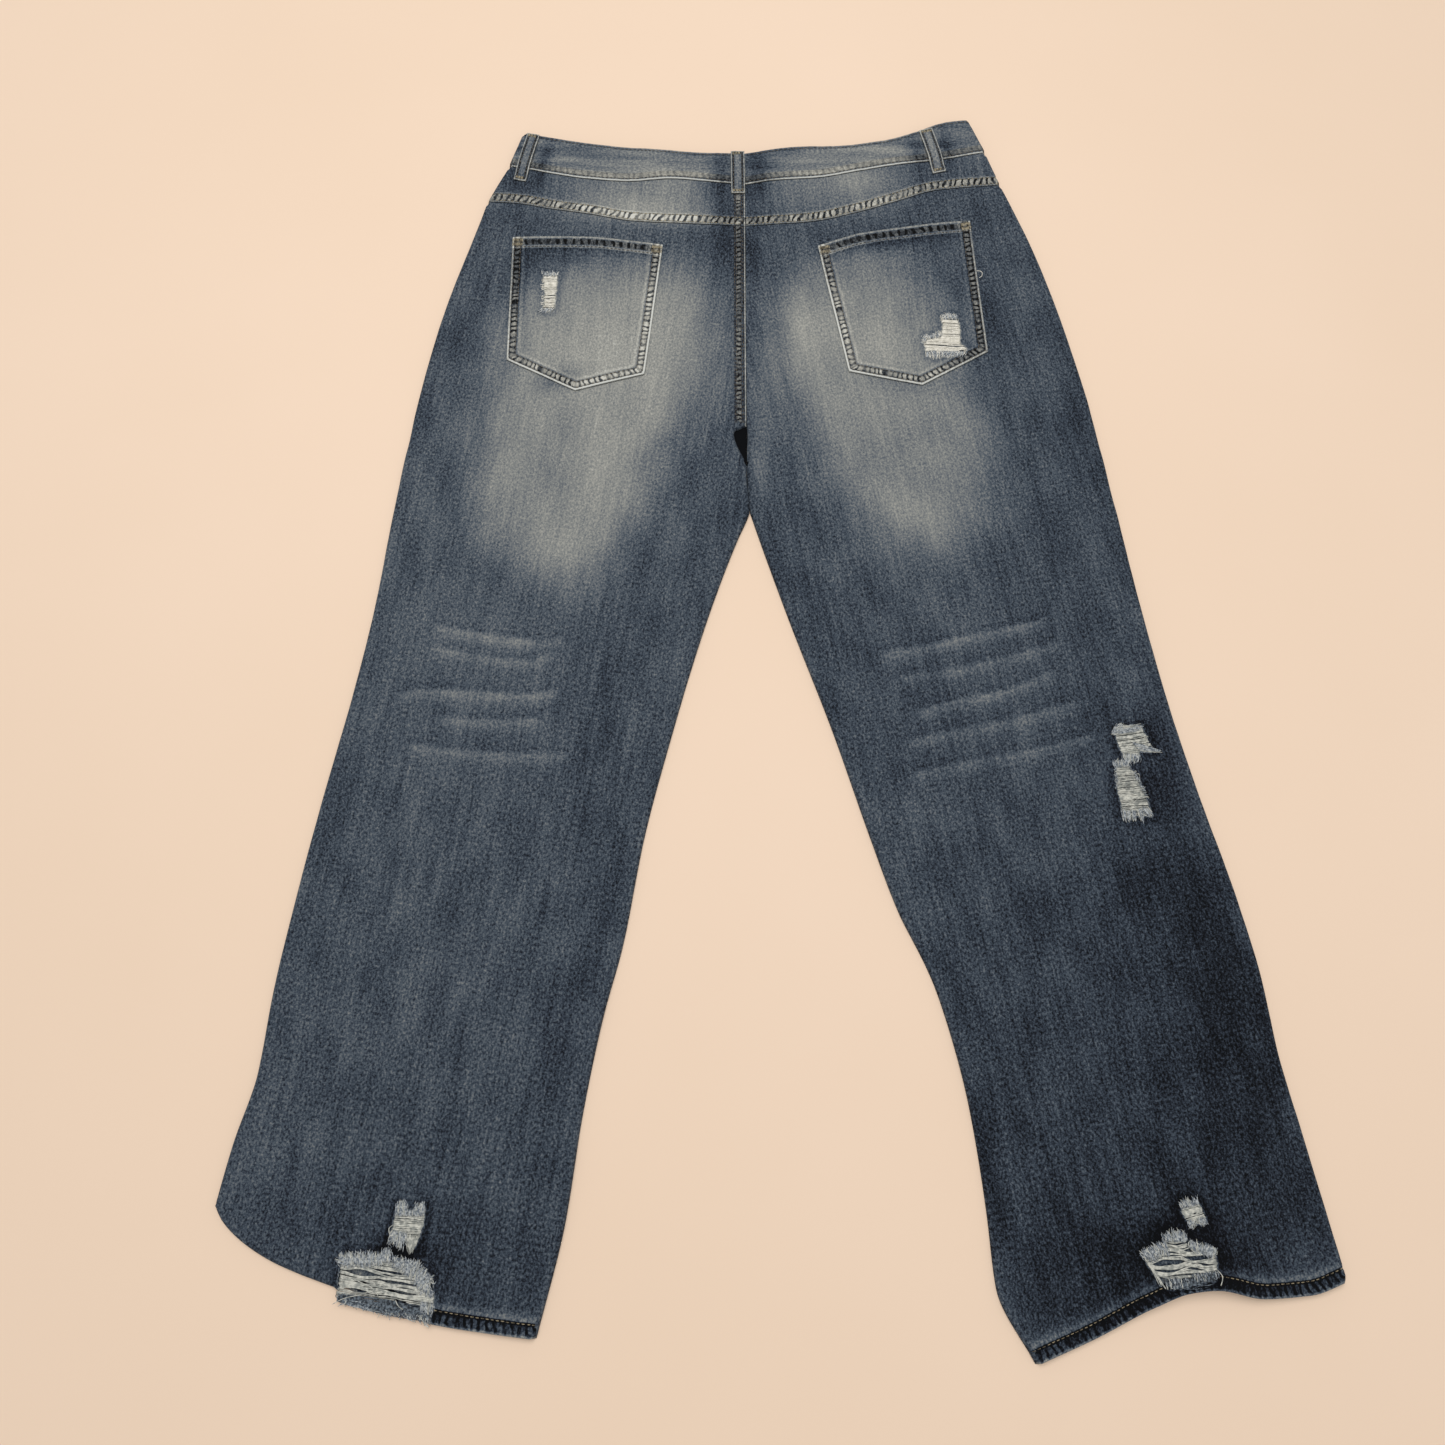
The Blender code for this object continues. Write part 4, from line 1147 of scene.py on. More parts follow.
# The same cloth between rows of brown thread
UMBER = ((0.0, "0B0B0A"), (0.2, "2B2B28"), (0.4, "55534B"), (0.6, "807D73"), (0.8, "A8A69C"), (1.0, "D0CEC4"))

UMBER_SHARE = 0.45


@dataclass(frozen=True)
class DenimFinish:
    """Stone-washed indigo twill, woven from blue warp over a pale weft.

    Attributes:
        name: the material's name.
        level: paleness of the plain cloth, from 0, raw indigo, to 1, bleached.
        rubs: the abraded seams of its panel.
        streak: strength of long pale streaks along the warp.
        streak_width: their width in millimetres.
    """

    name: str = "stone_washed_twill"
    level: float = 0.33
    rubs: tuple[Abrasion, ...] = (CENTRE_RUB, HEM_RUB)
    streak: float = 0.2
    streak_width: float = 5.0

    def rubbed(self, g: Graph, rub: Abrasion) -> tuple[object, object]:
        """Paleness added by one kind of seam, and where its band lies.

        Args:
            g: the material's graph.
            rub: the seam's abrasion.

        Returns:
            The socket with the added paleness, and the one that is 1 on the band and 0 off it.
        """
        d, run = g.read(rub.mark.value + "_in"), g.read(rub.mark.value + "_run")
        stops = [(mm / RUB_REACH, (0.5 + add / 2,) * 3 + (1.0,)) for mm, add in rub.profile]
        shade = g.ramp(g.math("DIVIDE", d, RUB_REACH), stops)
        added = g.math("MULTIPLY", g.math("SUBTRACT", shade, 0.5), 2.0)
        zone = 0.0
        if rub.strength:
            place = g.add("CombineXYZ", X=g.math("DIVIDE", run, DRIFT_SIZE),
                          Y=g.math("DIVIDE", d, DRIFT_SIZE))
            flat = {"noise_dimensions": "2D"}
            drift = g.add("TexNoise", flat, Vector=place.outputs[0], Scale=1.0, Detail=3.0).outputs[0]
            lean = g.math("ADD", g.math("MULTIPLY", d, rub.slant), g.math("MULTIPLY", drift, 10.0))
            wave = g.math("SINE", g.math("MULTIPLY", g.math("ADD", run, lean), 2 * math.pi / rub.pitch))
            bead = g.span(wave, -0.9, 0.25, -rub.strength, 0.75 * rub.strength)
            low, high = rub.beads
            zone = g.math("SUBTRACT", g.span(d, low - 0.5, low + 0.5), g.span(d, high - 0.6, high + 0.6))
            uneven = g.math("MULTIPLY", zone, g.span(drift, 0.3, 0.7, 0.5, 1.5))
            added = g.math("ADD", added, g.math("MULTIPLY", bead, uneven))
        return added, zone

    def make(self) -> Material:
        """Builds the material: indigo ramp, flecked warp, seam abrasion, frayed rims and twill bump.

        Returns:
            The material.
        """
        g = Graph(self.name)
        cloth = g.add("UVMap", {"uv_map": "cloth"}).outputs[0]
        torn = g.read("torn")

        # Slubby warp ends fade at different rates, which the eye reads as upright flecks and streaks
        fleck = g.noise(cloth, 1.9, 2.7, 3.0)
        grit = g.noise(cloth, 1.3, 1.2, 1.0)
        slub = g.noise(cloth, 6.0, 2.4)
        streak = g.noise(cloth, self.streak_width, 75.0)
        cloud = g.noise(cloth, 30.0, 50.0, 3.0)
        bands_across = {"wave_type": "BANDS", "bands_direction": "X"}
        lines = g.add("TexWave", bands_across, Vector=g.turn(cloth, TWILL_ANGLE),
                      Scale=1 / (TWILL_PITCH * 3.1416), Distortion=1.2, Detail=2.0).outputs["Fac"]
        # The mesh adds its bleached fades and painted shade to the cloth's level
        base = g.math("ADD", g.read("wear"), self.level)
        varied = 0.0
        shares = (fleck, 0.62), (grit, 0.35), (slub, 0.12), (streak, self.streak), (cloud, 0.2), (lines, 0.05)
        for noise, share in shares:
            varied = g.math("ADD", varied, g.math("MULTIPLY", g.math("SUBTRACT", noise, 0.5), share))

        # Bleaching levels the threads out, so pale cloth is the quieter
        level = g.math("ADD", base, g.math("MULTIPLY", varied, g.span(base, 0.3, 0.7, 1.0, 0.7)))

        # Seams pucker in the wash: their high spots rub pale and their hollows stay dark
        bands = 0.0
        for rub in self.rubs:
            added, zone = self.rubbed(g, rub)
            level = g.math("ADD", level, added)
            if rub.mark is not Mark.HEM:
                bands = g.math("MAXIMUM", bands, zone)

        # A dark ring round each rip is painted shade, partly also dye where the wash gathered; inside it a
        # pale frayed rim
        ring = g.math("SUBTRACT", g.span(torn, 0.4, 1.6), g.span(torn, 2.5, 10.0))
        level = g.math("SUBTRACT", level, g.math("MULTIPLY", ring, 0.1))
        tufts = g.span(g.noise(cloth, 1.2, 2.0), 0.3, 0.6)
        fray = g.math("MULTIPLY", g.span(torn, 0.2, 1.5, 1.0, 0.0), tufts)
        level = g.math("ADD", level, g.math("MULTIPLY", fray, 0.3))

        # Brown sewing thread bleeds and sheds into the bands, which look olive beside the open cloth
        colour = g.ramp(level, [(place, linear(code)) for place, code in INDIGO])
        umber = g.ramp(level, [(place, linear(code)) for place, code in UMBER])
        colour = g.mix(g.math("MULTIPLY", bands, UMBER_SHARE), colour, umber)
        height = g.math("ADD", g.math("MULTIPLY", lines, 0.4), fleck)
        height = g.math("ADD", height, g.math("MULTIPLY", slub, 0.8))
        bump = g.add("Bump", Strength=0.5, Distance=0.0004, Height=height)
        shader = g.add("BsdfPrincipled", Base_Color=colour, Roughness=0.92, Normal=bump.outputs[0])
        return g.finish(shader, Specular_IOR_Level=0.1, Sheen_Weight=0.02, Sheen_Roughness=0.6)


@dataclass(frozen=True)
class ThreadFinish:
    """Spun thread, twisted and slightly fuzzy, uneven in colour along its length, with patches that are
    partly painted shade.

    Attributes:
        name: the material's name.
        light: colour of the thread's high side.
        dark: colour of its soiled side, taken partly from the thread in shade, so it is partly painted shade.
        patch: size of the colour changes in millimetres.
    """

    name: str
    light: str
    dark: str
    patch: float = 6.0

    def make(self) -> Material:
        """Builds the material from two thread colours, mixed by noise, with a ply bump.

        Returns:
            The material.
        """
        g = Graph(self.name)
        place = g.add("TexCoord").outputs["Object"]
        # The dark patches are partly soil and partly painted shade
        spots = g.add("TexNoise", Vector=place, Scale=1 / (self.patch * MM), Detail=3.0)
        share = g.span(spots.outputs[0], 0.36, 0.64)
        colour = g.mix(share, linear(self.dark), linear(self.light))
        ply = g.add("TexNoise", Vector=place, Scale=1 / (0.5 * MM), Detail=2.0)
        bump = g.add("Bump", Strength=0.5, Distance=0.0002, Height=ply.outputs[0])
        shader = g.add("BsdfPrincipled", Base_Color=colour, Roughness=0.85, Normal=bump.outputs[0])
        return g.finish(shader, Specular_IOR_Level=0.25, Sheen_Weight=0.15)


@dataclass(frozen=True)
class BrassFinish:
    """Tumbled antique brass, dull in its hollows and rubbed bright on its rim."""

    name: str = "antique_brass_tumbled"

    def make(self) -> Material:
        """Builds the metal with a patchy patina.

        Returns:
            The material.
        """
        g = Graph(self.name)
        place = g.add("TexCoord").outputs["Object"]
        spots = g.add("TexNoise", Vector=place, Scale=900.0, Detail=4.0)
        share = g.span(spots.outputs[0], 0.35, 0.7)
        colour = g.mix(share, linear("6E5A3A"), linear("B49A66"))
        rough = g.span(spots.outputs[0], 0.3, 0.7, 0.52, 0.3)
        bump = g.add("Bump", Strength=0.2, Distance=0.0001, Height=spots.outputs[0])
        shader = g.add("BsdfPrincipled", Base_Color=colour, Roughness=rough, Normal=bump.outputs[0])
        return g.finish(shader, Metallic=1.0)


@dataclass(frozen=True)
class FloorFinish:
    """Matte cream floor with the faintest cloudiness."""

    name: str = "matte_cream_floor"

    def make(self) -> Material:
        """Builds the floor's colour from two close creams.

        Returns:
            The material.
        """
        g = Graph(self.name)
        place = g.add("TexCoord").outputs["Object"]
        cloud = g.add("TexNoise", Vector=place, Scale=2.2, Detail=3.0)
        colour = g.mix(cloud.outputs[0], linear("EED6BF"), linear("F5DECA"))
        return g.finish(g.add("BsdfPrincipled", Base_Color=colour, Roughness=0.8), Specular_IOR_Level=0.2)


class Finishes:
    """The materials, each made once."""

    def __init__(self) -> None:
        """Builds every material of the garment."""
        self.leg = DenimFinish().make()
        self.yoke = DenimFinish("stone_washed_yoke_twill", 0.36, (YOKE_RUB, CENTRE_RUB)).make()
        self.band = DenimFinish("stone_washed_waistband_twill", 0.45, (BAND_RUB, CREST_RUB), 0.5, 9.0).make()
        self.pocket = DenimFinish("stone_washed_pocket_twill", 0.35, (POCKET_RUB, MOUTH_RUB)).make()
        self.loop = DenimFinish("stone_washed_loop_twill", 0.42, (LOOP_RUB,)).make()
        self.tan = ThreadFinish("tan_topstitch_cotton", "B7AD93", "625C4E", 2.5).make()
        self.umber = ThreadFinish("soiled_topstitch_cotton", "6E665A", "2A2826", 3.0).make()
        self.gold = ThreadFinish("gold_topstitch_cotton", "9E9176", "4C4436", 2.5).make()
        self.weft = ThreadFinish("undyed_weft_cotton", "D3D4CD", "9A9E9B", 3.0).make()
        self.clean = ThreadFinish("bleached_weft_cotton", "EDEBE3", "D6D4CA", 3.0).make()
        self.fuzz = ThreadFinish("indigo_warp_fuzz", "C0C6CA", "65707E", 1.6).make()
        self.dark = ThreadFinish("raw_indigo_warp_fuzz", "717D89", "222A34", 1.6).make()
        self.brass = BrassFinish().make()


# Worn fades and painted shade

@dataclass(frozen=True)
class Patch:
    """A bleached area with soft sides.

    Attributes:
        outline: its outline in plan.
        soft: width of its soft side in millimetres.
        amount: how much paler it is.
    """

    outline: Line
    soft: float
    amount: float

    def at(self, plan: Array) -> Array:
        """Reads the patch.

        Args:
            plan: plan points.

        Returns:
            Paleness at each.
        """
        ring = np.array(self.outline, float)
        signed = distance_to(closed(ring), plan, FAR) * np.where(inside(ring, plan), 1, -1)
        return self.amount * smooth(0.5 + signed / self.soft)


@dataclass(frozen=True)
class Whisker:
    """A pale worn crease line behind the knee."""

    line: Line
    width: float = 5.0
    amount: float = 0.16

    def at(self, plan: Array) -> Array:
        """Reads the crease: crisp above its line, soft below, uneven, and fading at its ends.

        Args:
            plan: plan points.

        Returns:
            Paleness at each.
        """
        line = smooth_line(self.line)
        d, run = nearest(line, plan)
        above = plan[:, 1] > np.interp(plan[:, 0], *line.T)
        across = np.exp(-((d / np.where(above, 0.5 * self.width, 1.4 * self.width)) ** 2))
        shade = np.where(above, 0.3 * np.exp(-(((d - 6.0) / 3.0) ** 2)), 0.0)
        uneven = 1.0 + 0.25 * Ripples(38, 5, 17).at(plan[:, 0], plan[:, 1])
        ends = smooth(run / 10) * smooth((length_of(line) - run) / 10)
        return self.amount * uneven * ends * (across - shade)


PATCHES = (
    Patch(((-80, 400), (-50, 372), (-44, 320), (-58, 262), (-92, 205), (-120, 142), (-150, 96), (-180, 68),
           (-221, 80), (-255, 120), (-272, 169), (-280, 222), (-266, 276), (-258, 350), (-225, 395),
           (-130, 405)),
          80, 0.28),
    Patch(((48, 398), (16, 352), (10, 288), (34, 211), (77, 142), (122, 104), (160, 100), (195, 132),
           (212, 180), (218, 233), (196, 270), (190, 340), (160, 395), (80, 410)),
          80, 0.24),
)
# Paler and darker patches: bleached fades and darker dye, with painted shade beside the rips, under the right
# pocket's rip and at the legs' edges; the darker lower right leg is partly painted shade
FADES_AND_SHADE = folds(
    (-95, 335, 85, 80, 34, 0.06), (-110, 210, 68, 110, 32, 0.07), (-262, 170, 84, 70, 26, 0.06),
    (-192, 92, 5, 46, 26, 0.05), (-202, 185, 80, 40, 22, -0.05), (-165, 300, 0, 60, 60, 0.1),
    (40, 330, -85, 80, 30, 0.08), (34, 235, -80, 50, 16, -0.1), (146, 130, -20, 46, 30, 0.07),
    (110, 310, 0, 50, 60, 0.1), (-127, 488, 0, 70, 26, 0.2), (77, 492, 0, 66, 26, 0.16),
    (-130, 528, 0, 85, 30, 0.08), (90, 540, 8, 85, 30, 0.1), (-190, 418, 5, 80, 22, 0.03),
    (130, 437, 5, 80, 14, -0.05), (-20, 430, 90, 70, 26, -0.04), (-2, 260, 88, 110, 12, 0.09),
    (-340, 330, 84, 200, 26, -0.02), (315, 330, -84, 200, 30, -0.08), (230, 240, -80, 100, 30, -0.02),
    (-235, 10, 84, 90, 60, 0.05), (190, 10, -84, 90, 60, 0.05), (300, 80, -80, 160, 60, -0.04),
    (20, 60, -60, 120, 40, -0.05), (400, -380, -76, 190, 90, -0.13), (320, -525, -60, 110, 80, -0.17),
    (365, -235, -78, 90, 28, -0.1), (330, -150, -78, 80, 50, -0.04), (220, -270, -75, 120, 60, -0.05),
    (190, -420, -78, 110, 40, -0.08), (160, 370, -80, 70, 50, -0.05), (-172, -350, 80, 150, 22, -0.07),
    (-290, -100, 84, 80, 20, 0.04), (-388, -190, 80, 50, 14, -0.06), (165, -40, -80, 70, 60, -0.06),
    (-115, 468, -5, 75, 16, 0.2), (-246, 370, 88, 60, 10, -0.16), (-215, 415, 0, 40, 14, -0.15),
    (-203, 278, 20, 24, 12, -0.2), (-95, 215, 60, 50, 18, -0.11), (-6, 185, 90, 30, 8, 0.1),
    (34, 345, 90, 50, 14, 0.1), (115, 413, 5, 30, 14, 0.09), (130, 275, -8, 36, 12, -0.1),
    (300, 225, -82, 40, 16, -0.07), (-275, 190, 85, 40, 16, -0.07), (330, -330, -78, 130, 70, -0.05),
    (172, -440, -80, 60, 14, -0.07), (390, -330, -78, 60, 20, -0.05), (-150, -60, 78, 160, 26, -0.04),
    (-84, 285, 85, 30, 14, -0.08), (-20, 462, 0, 30, 10, -0.1), (300, -190, -78, 70, 20, -0.05),
    (225, 330, -85, 60, 20, -0.05), (100, 235, -60, 40, 24, 0.04), (-130, -190, 72, 60, 14, -0.05),
    (-45, 277, 88, 30, 10, 0.08), (-165, 190, 85, 60, 24, 0.07), (-85, 110, 60, 30, 16, 0.06),
    (212, 68, -75, 40, 24, -0.08), (277, -47, -78, 50, 18, -0.06), (345, -90, -78, 40, 16, -0.1),
    (268, -504, -60, 30, 14, -0.1), (265, -530, -30, 30, 14, -0.08), (152, -290, -70, 40, 14, -0.08),
    (290, 230, -80, 120, 30, 0.02), (-330, 60, 84, 170, 50, 0.04), (-60, 330, 88, 90, 26, -0.05),
    (250, -330, -78, 200, 120, -0.02), (215, -525, -60, 60, 45, -0.07), (-330, -500, 60, 120, 70, -0.06),
    (-230, -520, 0, 90, 60, -0.06), (-296, -498, -10, 20, 8, -0.26), (-262, -512, -60, 24, 8, -0.05),
    (-350, -515, 70, 24, 8, -0.03), (332, -118, -70, 22, 9, -0.08), (303, -482, 30, 18, 9, -0.12),
    (348, -500, -80, 24, 10, -0.1), (170, 322, 20, 9, 5, -0.12),
)
WHISKERS = (
    Whisker(((-309, 23), (-251, 12), (-201, 7), (-187, 13)), amount=0.145),
    Whisker(((-309, 3), (-262, -7), (-221, -12), (-191, -1)), amount=0.105),
    Whisker(((-336, -47), (-316, -39), (-254, -42), (-220, -44), (-188, -38)), amount=0.145),
    Whisker(((-303, -65), (-232, -68), (-201, -65)), amount=0.115),
    Whisker(((-325, -89), (-278, -95), (-230, -98), (-176, -98)), amount=0.115),
    Whisker(((97, -6), (141, 3), (187, 13), (256, 29)), amount=0.145),
    Whisker(((113, -27), (163, -20), (208, -10), (267, 8)), amount=0.105),
    Whisker(((128, -60), (176, -47), (213, -39), (260, -19)), amount=0.135),
    Whisker(((116, -88), (159, -78), (227, -64), (287, -46)), amount=0.105),
    Whisker(((120, -117), (180, -104), (239, -93), (291, -79)), amount=0.105),
)


# Painted shade beside the belt loops and right of the centre seam, and two paler fades on the waistband
BAND_SHADE_AND_FADES = folds(
    (-44, 500, 90, 48, 12, -0.27), (-8, 520, 90, 32, 13, -0.28), (-226, 536, 76, 26, 8, -0.22),
    (-258, 538, 76, 26, 9, -0.12), (158, 546, 100, 26, 8, -0.2), (188, 550, 100, 26, 8, -0.2),
    (-11, 425, 90, 55, 7, -0.06), (-250, 505, 0, 22, 14, -0.14), (165, 505, 0, 50, 16, -0.09),
    (-90, 508, 0, 30, 12, 0.08), (105, 510, 0, 45, 14, 0.14),
)
# Painted shadow on the front where it shows in the crotch's notch
NOTCH_SHADE = Fold(-26, 208, 90, 30, 16, -0.9)


def front_wear(x: Array, y: Array) -> Array:
    """Paleness of the front at plan points: painted shadow where it shows in the crotch's notch."""
    return bell(NOTCH_SHADE, x, y)


def back_wear(x: Array, y: Array) -> Array:
    """Paleness of the back: bleached seat, whiskers and dark sides, with painted shade beside the belt loops
    and rips and at some edges; the darker lower right leg is partly painted shade.

    Args:
        x, y: plan points.

    Returns:
        The paleness at each.
    """
    plan = np.column_stack([np.ravel(x), np.ravel(y)])
    total = sum(patch.at(plan) for patch in PATCHES)
    total = total + sum(bell(glow, plan[:, 0], plan[:, 1]) for glow in FADES_AND_SHADE + BAND_SHADE_AND_FADES)
    total = total + sum(whisker.at(plan) for whisker in WHISKERS)
    return total.reshape(np.shape(x))


# Rips

@dataclass(frozen=True)
class Slot:
    """A lens-shaped gap that opens between the weft threads."""

    start: Point
    end: Point
    half: float


class Yarn(Enum):
    """The yarns that fray."""

    WARP = "indigo warp, rubbed pale"
    DARK = "raw indigo warp"
    WEFT = "undyed weft"


@dataclass(frozen=True)
class Fringe:
    """Curly yarn ends growing from one line towards another.

    Attributes:
        roots: the line that they grow from.
        tips: the line that the longest reach.
        count: how many there are.
        curl: how far they wander, in millimetres.
        yarn: the yarn that they are of.
    """

    roots: Line
    tips: Line
    count: int
    curl: float = 0.8
    yarn: Yarn = Yarn.WARP

    def paths(self, top: Top, rng: np.random.Generator) -> list[Array]:
        """Each end's points on the cloth.

        Args:
            top: height of the torn panel's outer face.
            rng: makes the ends uneven.

        Returns:
            One path for each end.
        """
        roots, tips = (spaced(np.array(line, float), 0.5) for line in (self.roots, self.tips))
        found = []
        for _ in range(self.count):
            share = rng.uniform(0, 1)
            root = roots[int(share * (len(roots) - 1))] + rng.normal(0, 0.5, 2)
            near = np.clip(share + rng.normal(0, 0.05), 0, 1)
            tip = tips[int(near * (len(tips) - 1))] + rng.normal(0, 0.7, 2)
            tip = root + (tip - root) * rng.uniform(0.55, 1.05)
            way = tip - root
            length = max(np.linalg.norm(way), 0.5)
            n = int(np.clip(length / 1.3, 5, 18))
            t = np.linspace(0, 1, n)
            side = np.array([-way[1], way[0]]) / length
            wander = rng.normal(0, self.curl) * np.sin(math.pi * t)
            wander = wander + 0.5 * self.curl * np.sin(t * rng.uniform(5, 12) + rng.uniform(0, 6)) * t
            hook = rng.normal(0, self.curl) * np.maximum(t - 0.7, 0) * 3
            plan = root + way * t[:, None] + side * (wander + hook)[:, None]
            z = top(plan) + rng.uniform(-0.1, 0.75) + rng.uniform(0.1, 0.7) * np.sin(math.pi * t) - 0.4 * t
            z[0] -= 0.5
            found.append(np.column_stack([plan, z]))
        return found


@dataclass(frozen=True)
class Rip:
    """A worn hole, bridged by the bare weft threads.

    Attributes:
        name: the name of the CAD threads that it stands for.
        carrier: the panel that is torn.
        outline: the hole in plan.
        angle: direction of the weft threads in degrees.
        slots: gaps between the threads.
        fringes: warp ends round the hole.
        bridge: the area that the weft still bridges, if it is less than the hole.
        strays: single loose threads.
        sway: how far the threads wave together, in millimetres.
        seed: makes this rip's unevenness its own.
    """

    name: str
    carrier: str
    outline: Line
    angle: float
    slots: tuple[Slot, ...]
    fringes: tuple[Fringe, ...]
    bridge: Line = ()
    strays: tuple[Line, ...] = ()
    sway: float = 0.25
    seed: int = 1

    def ring(self) -> Array:
        """The torn outline, with small notches.

        Returns:
            Its points.
        """
        line = spaced(closed(np.array(self.outline, float)), RIP_PITCH)[:-1]
        rng = np.random.default_rng(self.seed)
        return line + normals_left(line) * rng.normal(0, 0.38, (len(line), 1))

    def zone(self) -> Array:
        """A box round the hole that is meshed finely."""
        (x0, y0), (x1, y1) = self.ring().min(axis=0) - 9, self.ring().max(axis=0) + 9
        return np.array([(x0, y0), (x1, y0), (x1, y1), (x0, y1)])

    def local(self, plan: Array, back: bool = False) -> Array:
        """Turns plan points into the threads' own axes.

        Args:
            plan: plan points.
            back: turns them back instead.

        Returns:
            The turned points.
        """
        c, s = math.cos(math.radians(self.angle)), math.sin(math.radians(self.angle))
        turn = np.array([[c, -s], [s, c]])
        return plan @ turn.T if back else plan @ turn

    @staticmethod
    def spans(ring: Array, level: float) -> list[Point]:
        """Where a thread at one height lies inside the hole.

        Args:
            ring: the outline in the threads' own axes.
            level: the thread's height there.

        Returns:
            Start and end of each stretch.
        """
        hits = []
        for (x0, y0), (x1, y1) in zip(ring, np.roll(ring, -1, axis=0)):
            if (y0 < level) != (y1 < level):
                hits.append(x0 + (x1 - x0) * (level - y0) / (y1 - y0))
        hits.sort()
        return [(a, b) for a, b in zip(hits[::2], hits[1::2]) if b - a > 1.2]

    def part_threads(self, u: Array, v: Array) -> Array:
        """Pushes threads apart where a slot opens between them.

        Args:
            u: places along the threads.
            v: places across them.

        Returns:
            New places across them.
        """
        for slot in self.slots:
            (u0, v0), (u1, v1) = self.local(np.array([slot.start, slot.end], float))
            t = (u - u0) / (u1 - u0)
            half = np.where((t > 0) & (t < 1), slot.half * np.sin(math.pi * np.clip(t, 0, 1)) ** 0.7, 0)
            off = v - (v0 + (v1 - v0) * t)
            reach = slot.half * 3.2
            side = np.sign(np.median(off[(t > 0) & (t < 1)])) if np.any((t > 0) & (t < 1)) else 1.0
            push = np.where(np.abs(off) < reach, half * (1 - np.abs(off) / reach), 0)
            v = v + side * push
        return v

    def weft(self, top: Top) -> tuple[list[Array], list[float]]:
        """Bare weft threads across the hole, side by side and wavy.

        Args:
            top: height of the torn panel's outer face.

        Returns:
            Paths and radii of the threads.
        """
        rng = np.random.default_rng(self.seed + 100)
        ring = self.ring()
        if self.bridge:
            ring = spaced(closed(np.array(self.bridge, float)), RIP_PITCH)[:-1]
        ring = self.local(ring)
        low, high = ring[:, 1].min(), ring[:, 1].max()
        gone = 0.08 if self.name.startswith("hem") else 0.03
        paths, radii = [], []
        level = low + 0.3
        phase = rng.uniform(0, 6)
        while level < high - 0.2:
            for a, b in self.spans(ring, level):
                if rng.random() < gone:
                    continue
                count = max(6, int((b - a) / 1.8))
                u = np.concatenate([[a - 1.6], np.linspace(a - 0.3, b + 0.3, count), [b + 1.6]])
                t = np.linspace(0, 1, count + 2)
                swell = np.sin(math.pi * t) ** 0.6
                wave = self.sway * (np.sin(u / 6.5 + phase + level * 0.22) + 0.5 * np.sin(u / 2.9 + level))
                wave = wave + rng.normal(0, 0.22) + 0.16 * np.sin(u * rng.uniform(0.5, 1.6) + rng.uniform(0,
                                                                                                          6))
                v = self.part_threads(u, level + wave * swell)
                if rng.random() < 0.06:
                    cut = max(4, int((count + 2) * rng.uniform(0.45, 0.8)))
                    u, v, swell = u[:cut], v[:cut] + np.linspace(0, rng.normal(0, 1.6), cut), swell[:cut]
                plan = self.local(np.column_stack([u, v]), back=True)
                z = top(plan) - 0.55 + rng.uniform(-0.3, 0.4) + 0.2 * rng.normal() * swell
                z[[0, -1]] -= 1.3
                z[[1, -2]] -= 0.4
                paths.append(np.column_stack([plan, z]))
                radii.append(rng.uniform(0.3, 0.46))
            level += rng.uniform(0.42, 0.86)
            phase += rng.normal(0, 0.06)
        return paths, radii

    def build(self, top: Top, finishes: Finishes) -> None:
        """Makes the rip's threads, fringes and strays.

        Args:
            top: height of the torn panel's outer face.
            finishes: the materials.
        """
        rng = np.random.default_rng(self.seed + 200)
        paths, radii = self.weft(top)
        ends = {Yarn.WARP: [], Yarn.DARK: [], Yarn.WEFT: []}
        for fringe in self.fringes:
            made = fringe.paths(top, rng)
            split = len(made) * 3 // 4 if fringe.yarn is Yarn.WARP else len(made)
            ends[fringe.yarn] += made[:split]
            ends[Yarn.WEFT] += made[split:]
        paths += ends[Yarn.WEFT]
        radii += rng.uniform(0.2, 0.34, len(ends[Yarn.WEFT])).tolist()
        for stray in self.strays:
            plan = smooth_line(stray)[::12]
            lift = 1.3 * np.sin(np.linspace(0.2, math.pi - 0.2, len(plan)))
            paths.append(np.column_stack([plan, top(plan) + 0.4 + lift]))
            radii.append(0.33)
        weft = finishes.clean if self.carrier.startswith("pocket") else finishes.weft
        dress(Shop.strands("weft_" + self.name, paths, radii), weft, "threads_" + self.name)
        for yarn, finish in ((Yarn.WARP, finishes.fuzz), (Yarn.DARK, finishes.dark)):
            if ends[yarn]:
                thin = rng.uniform(0.22, 0.36, len(ends[yarn])).tolist()
                name = yarn.name.lower() + "_fray_" + self.name
                dress(Shop.strands(name, ends[yarn], thin, 4), finish)


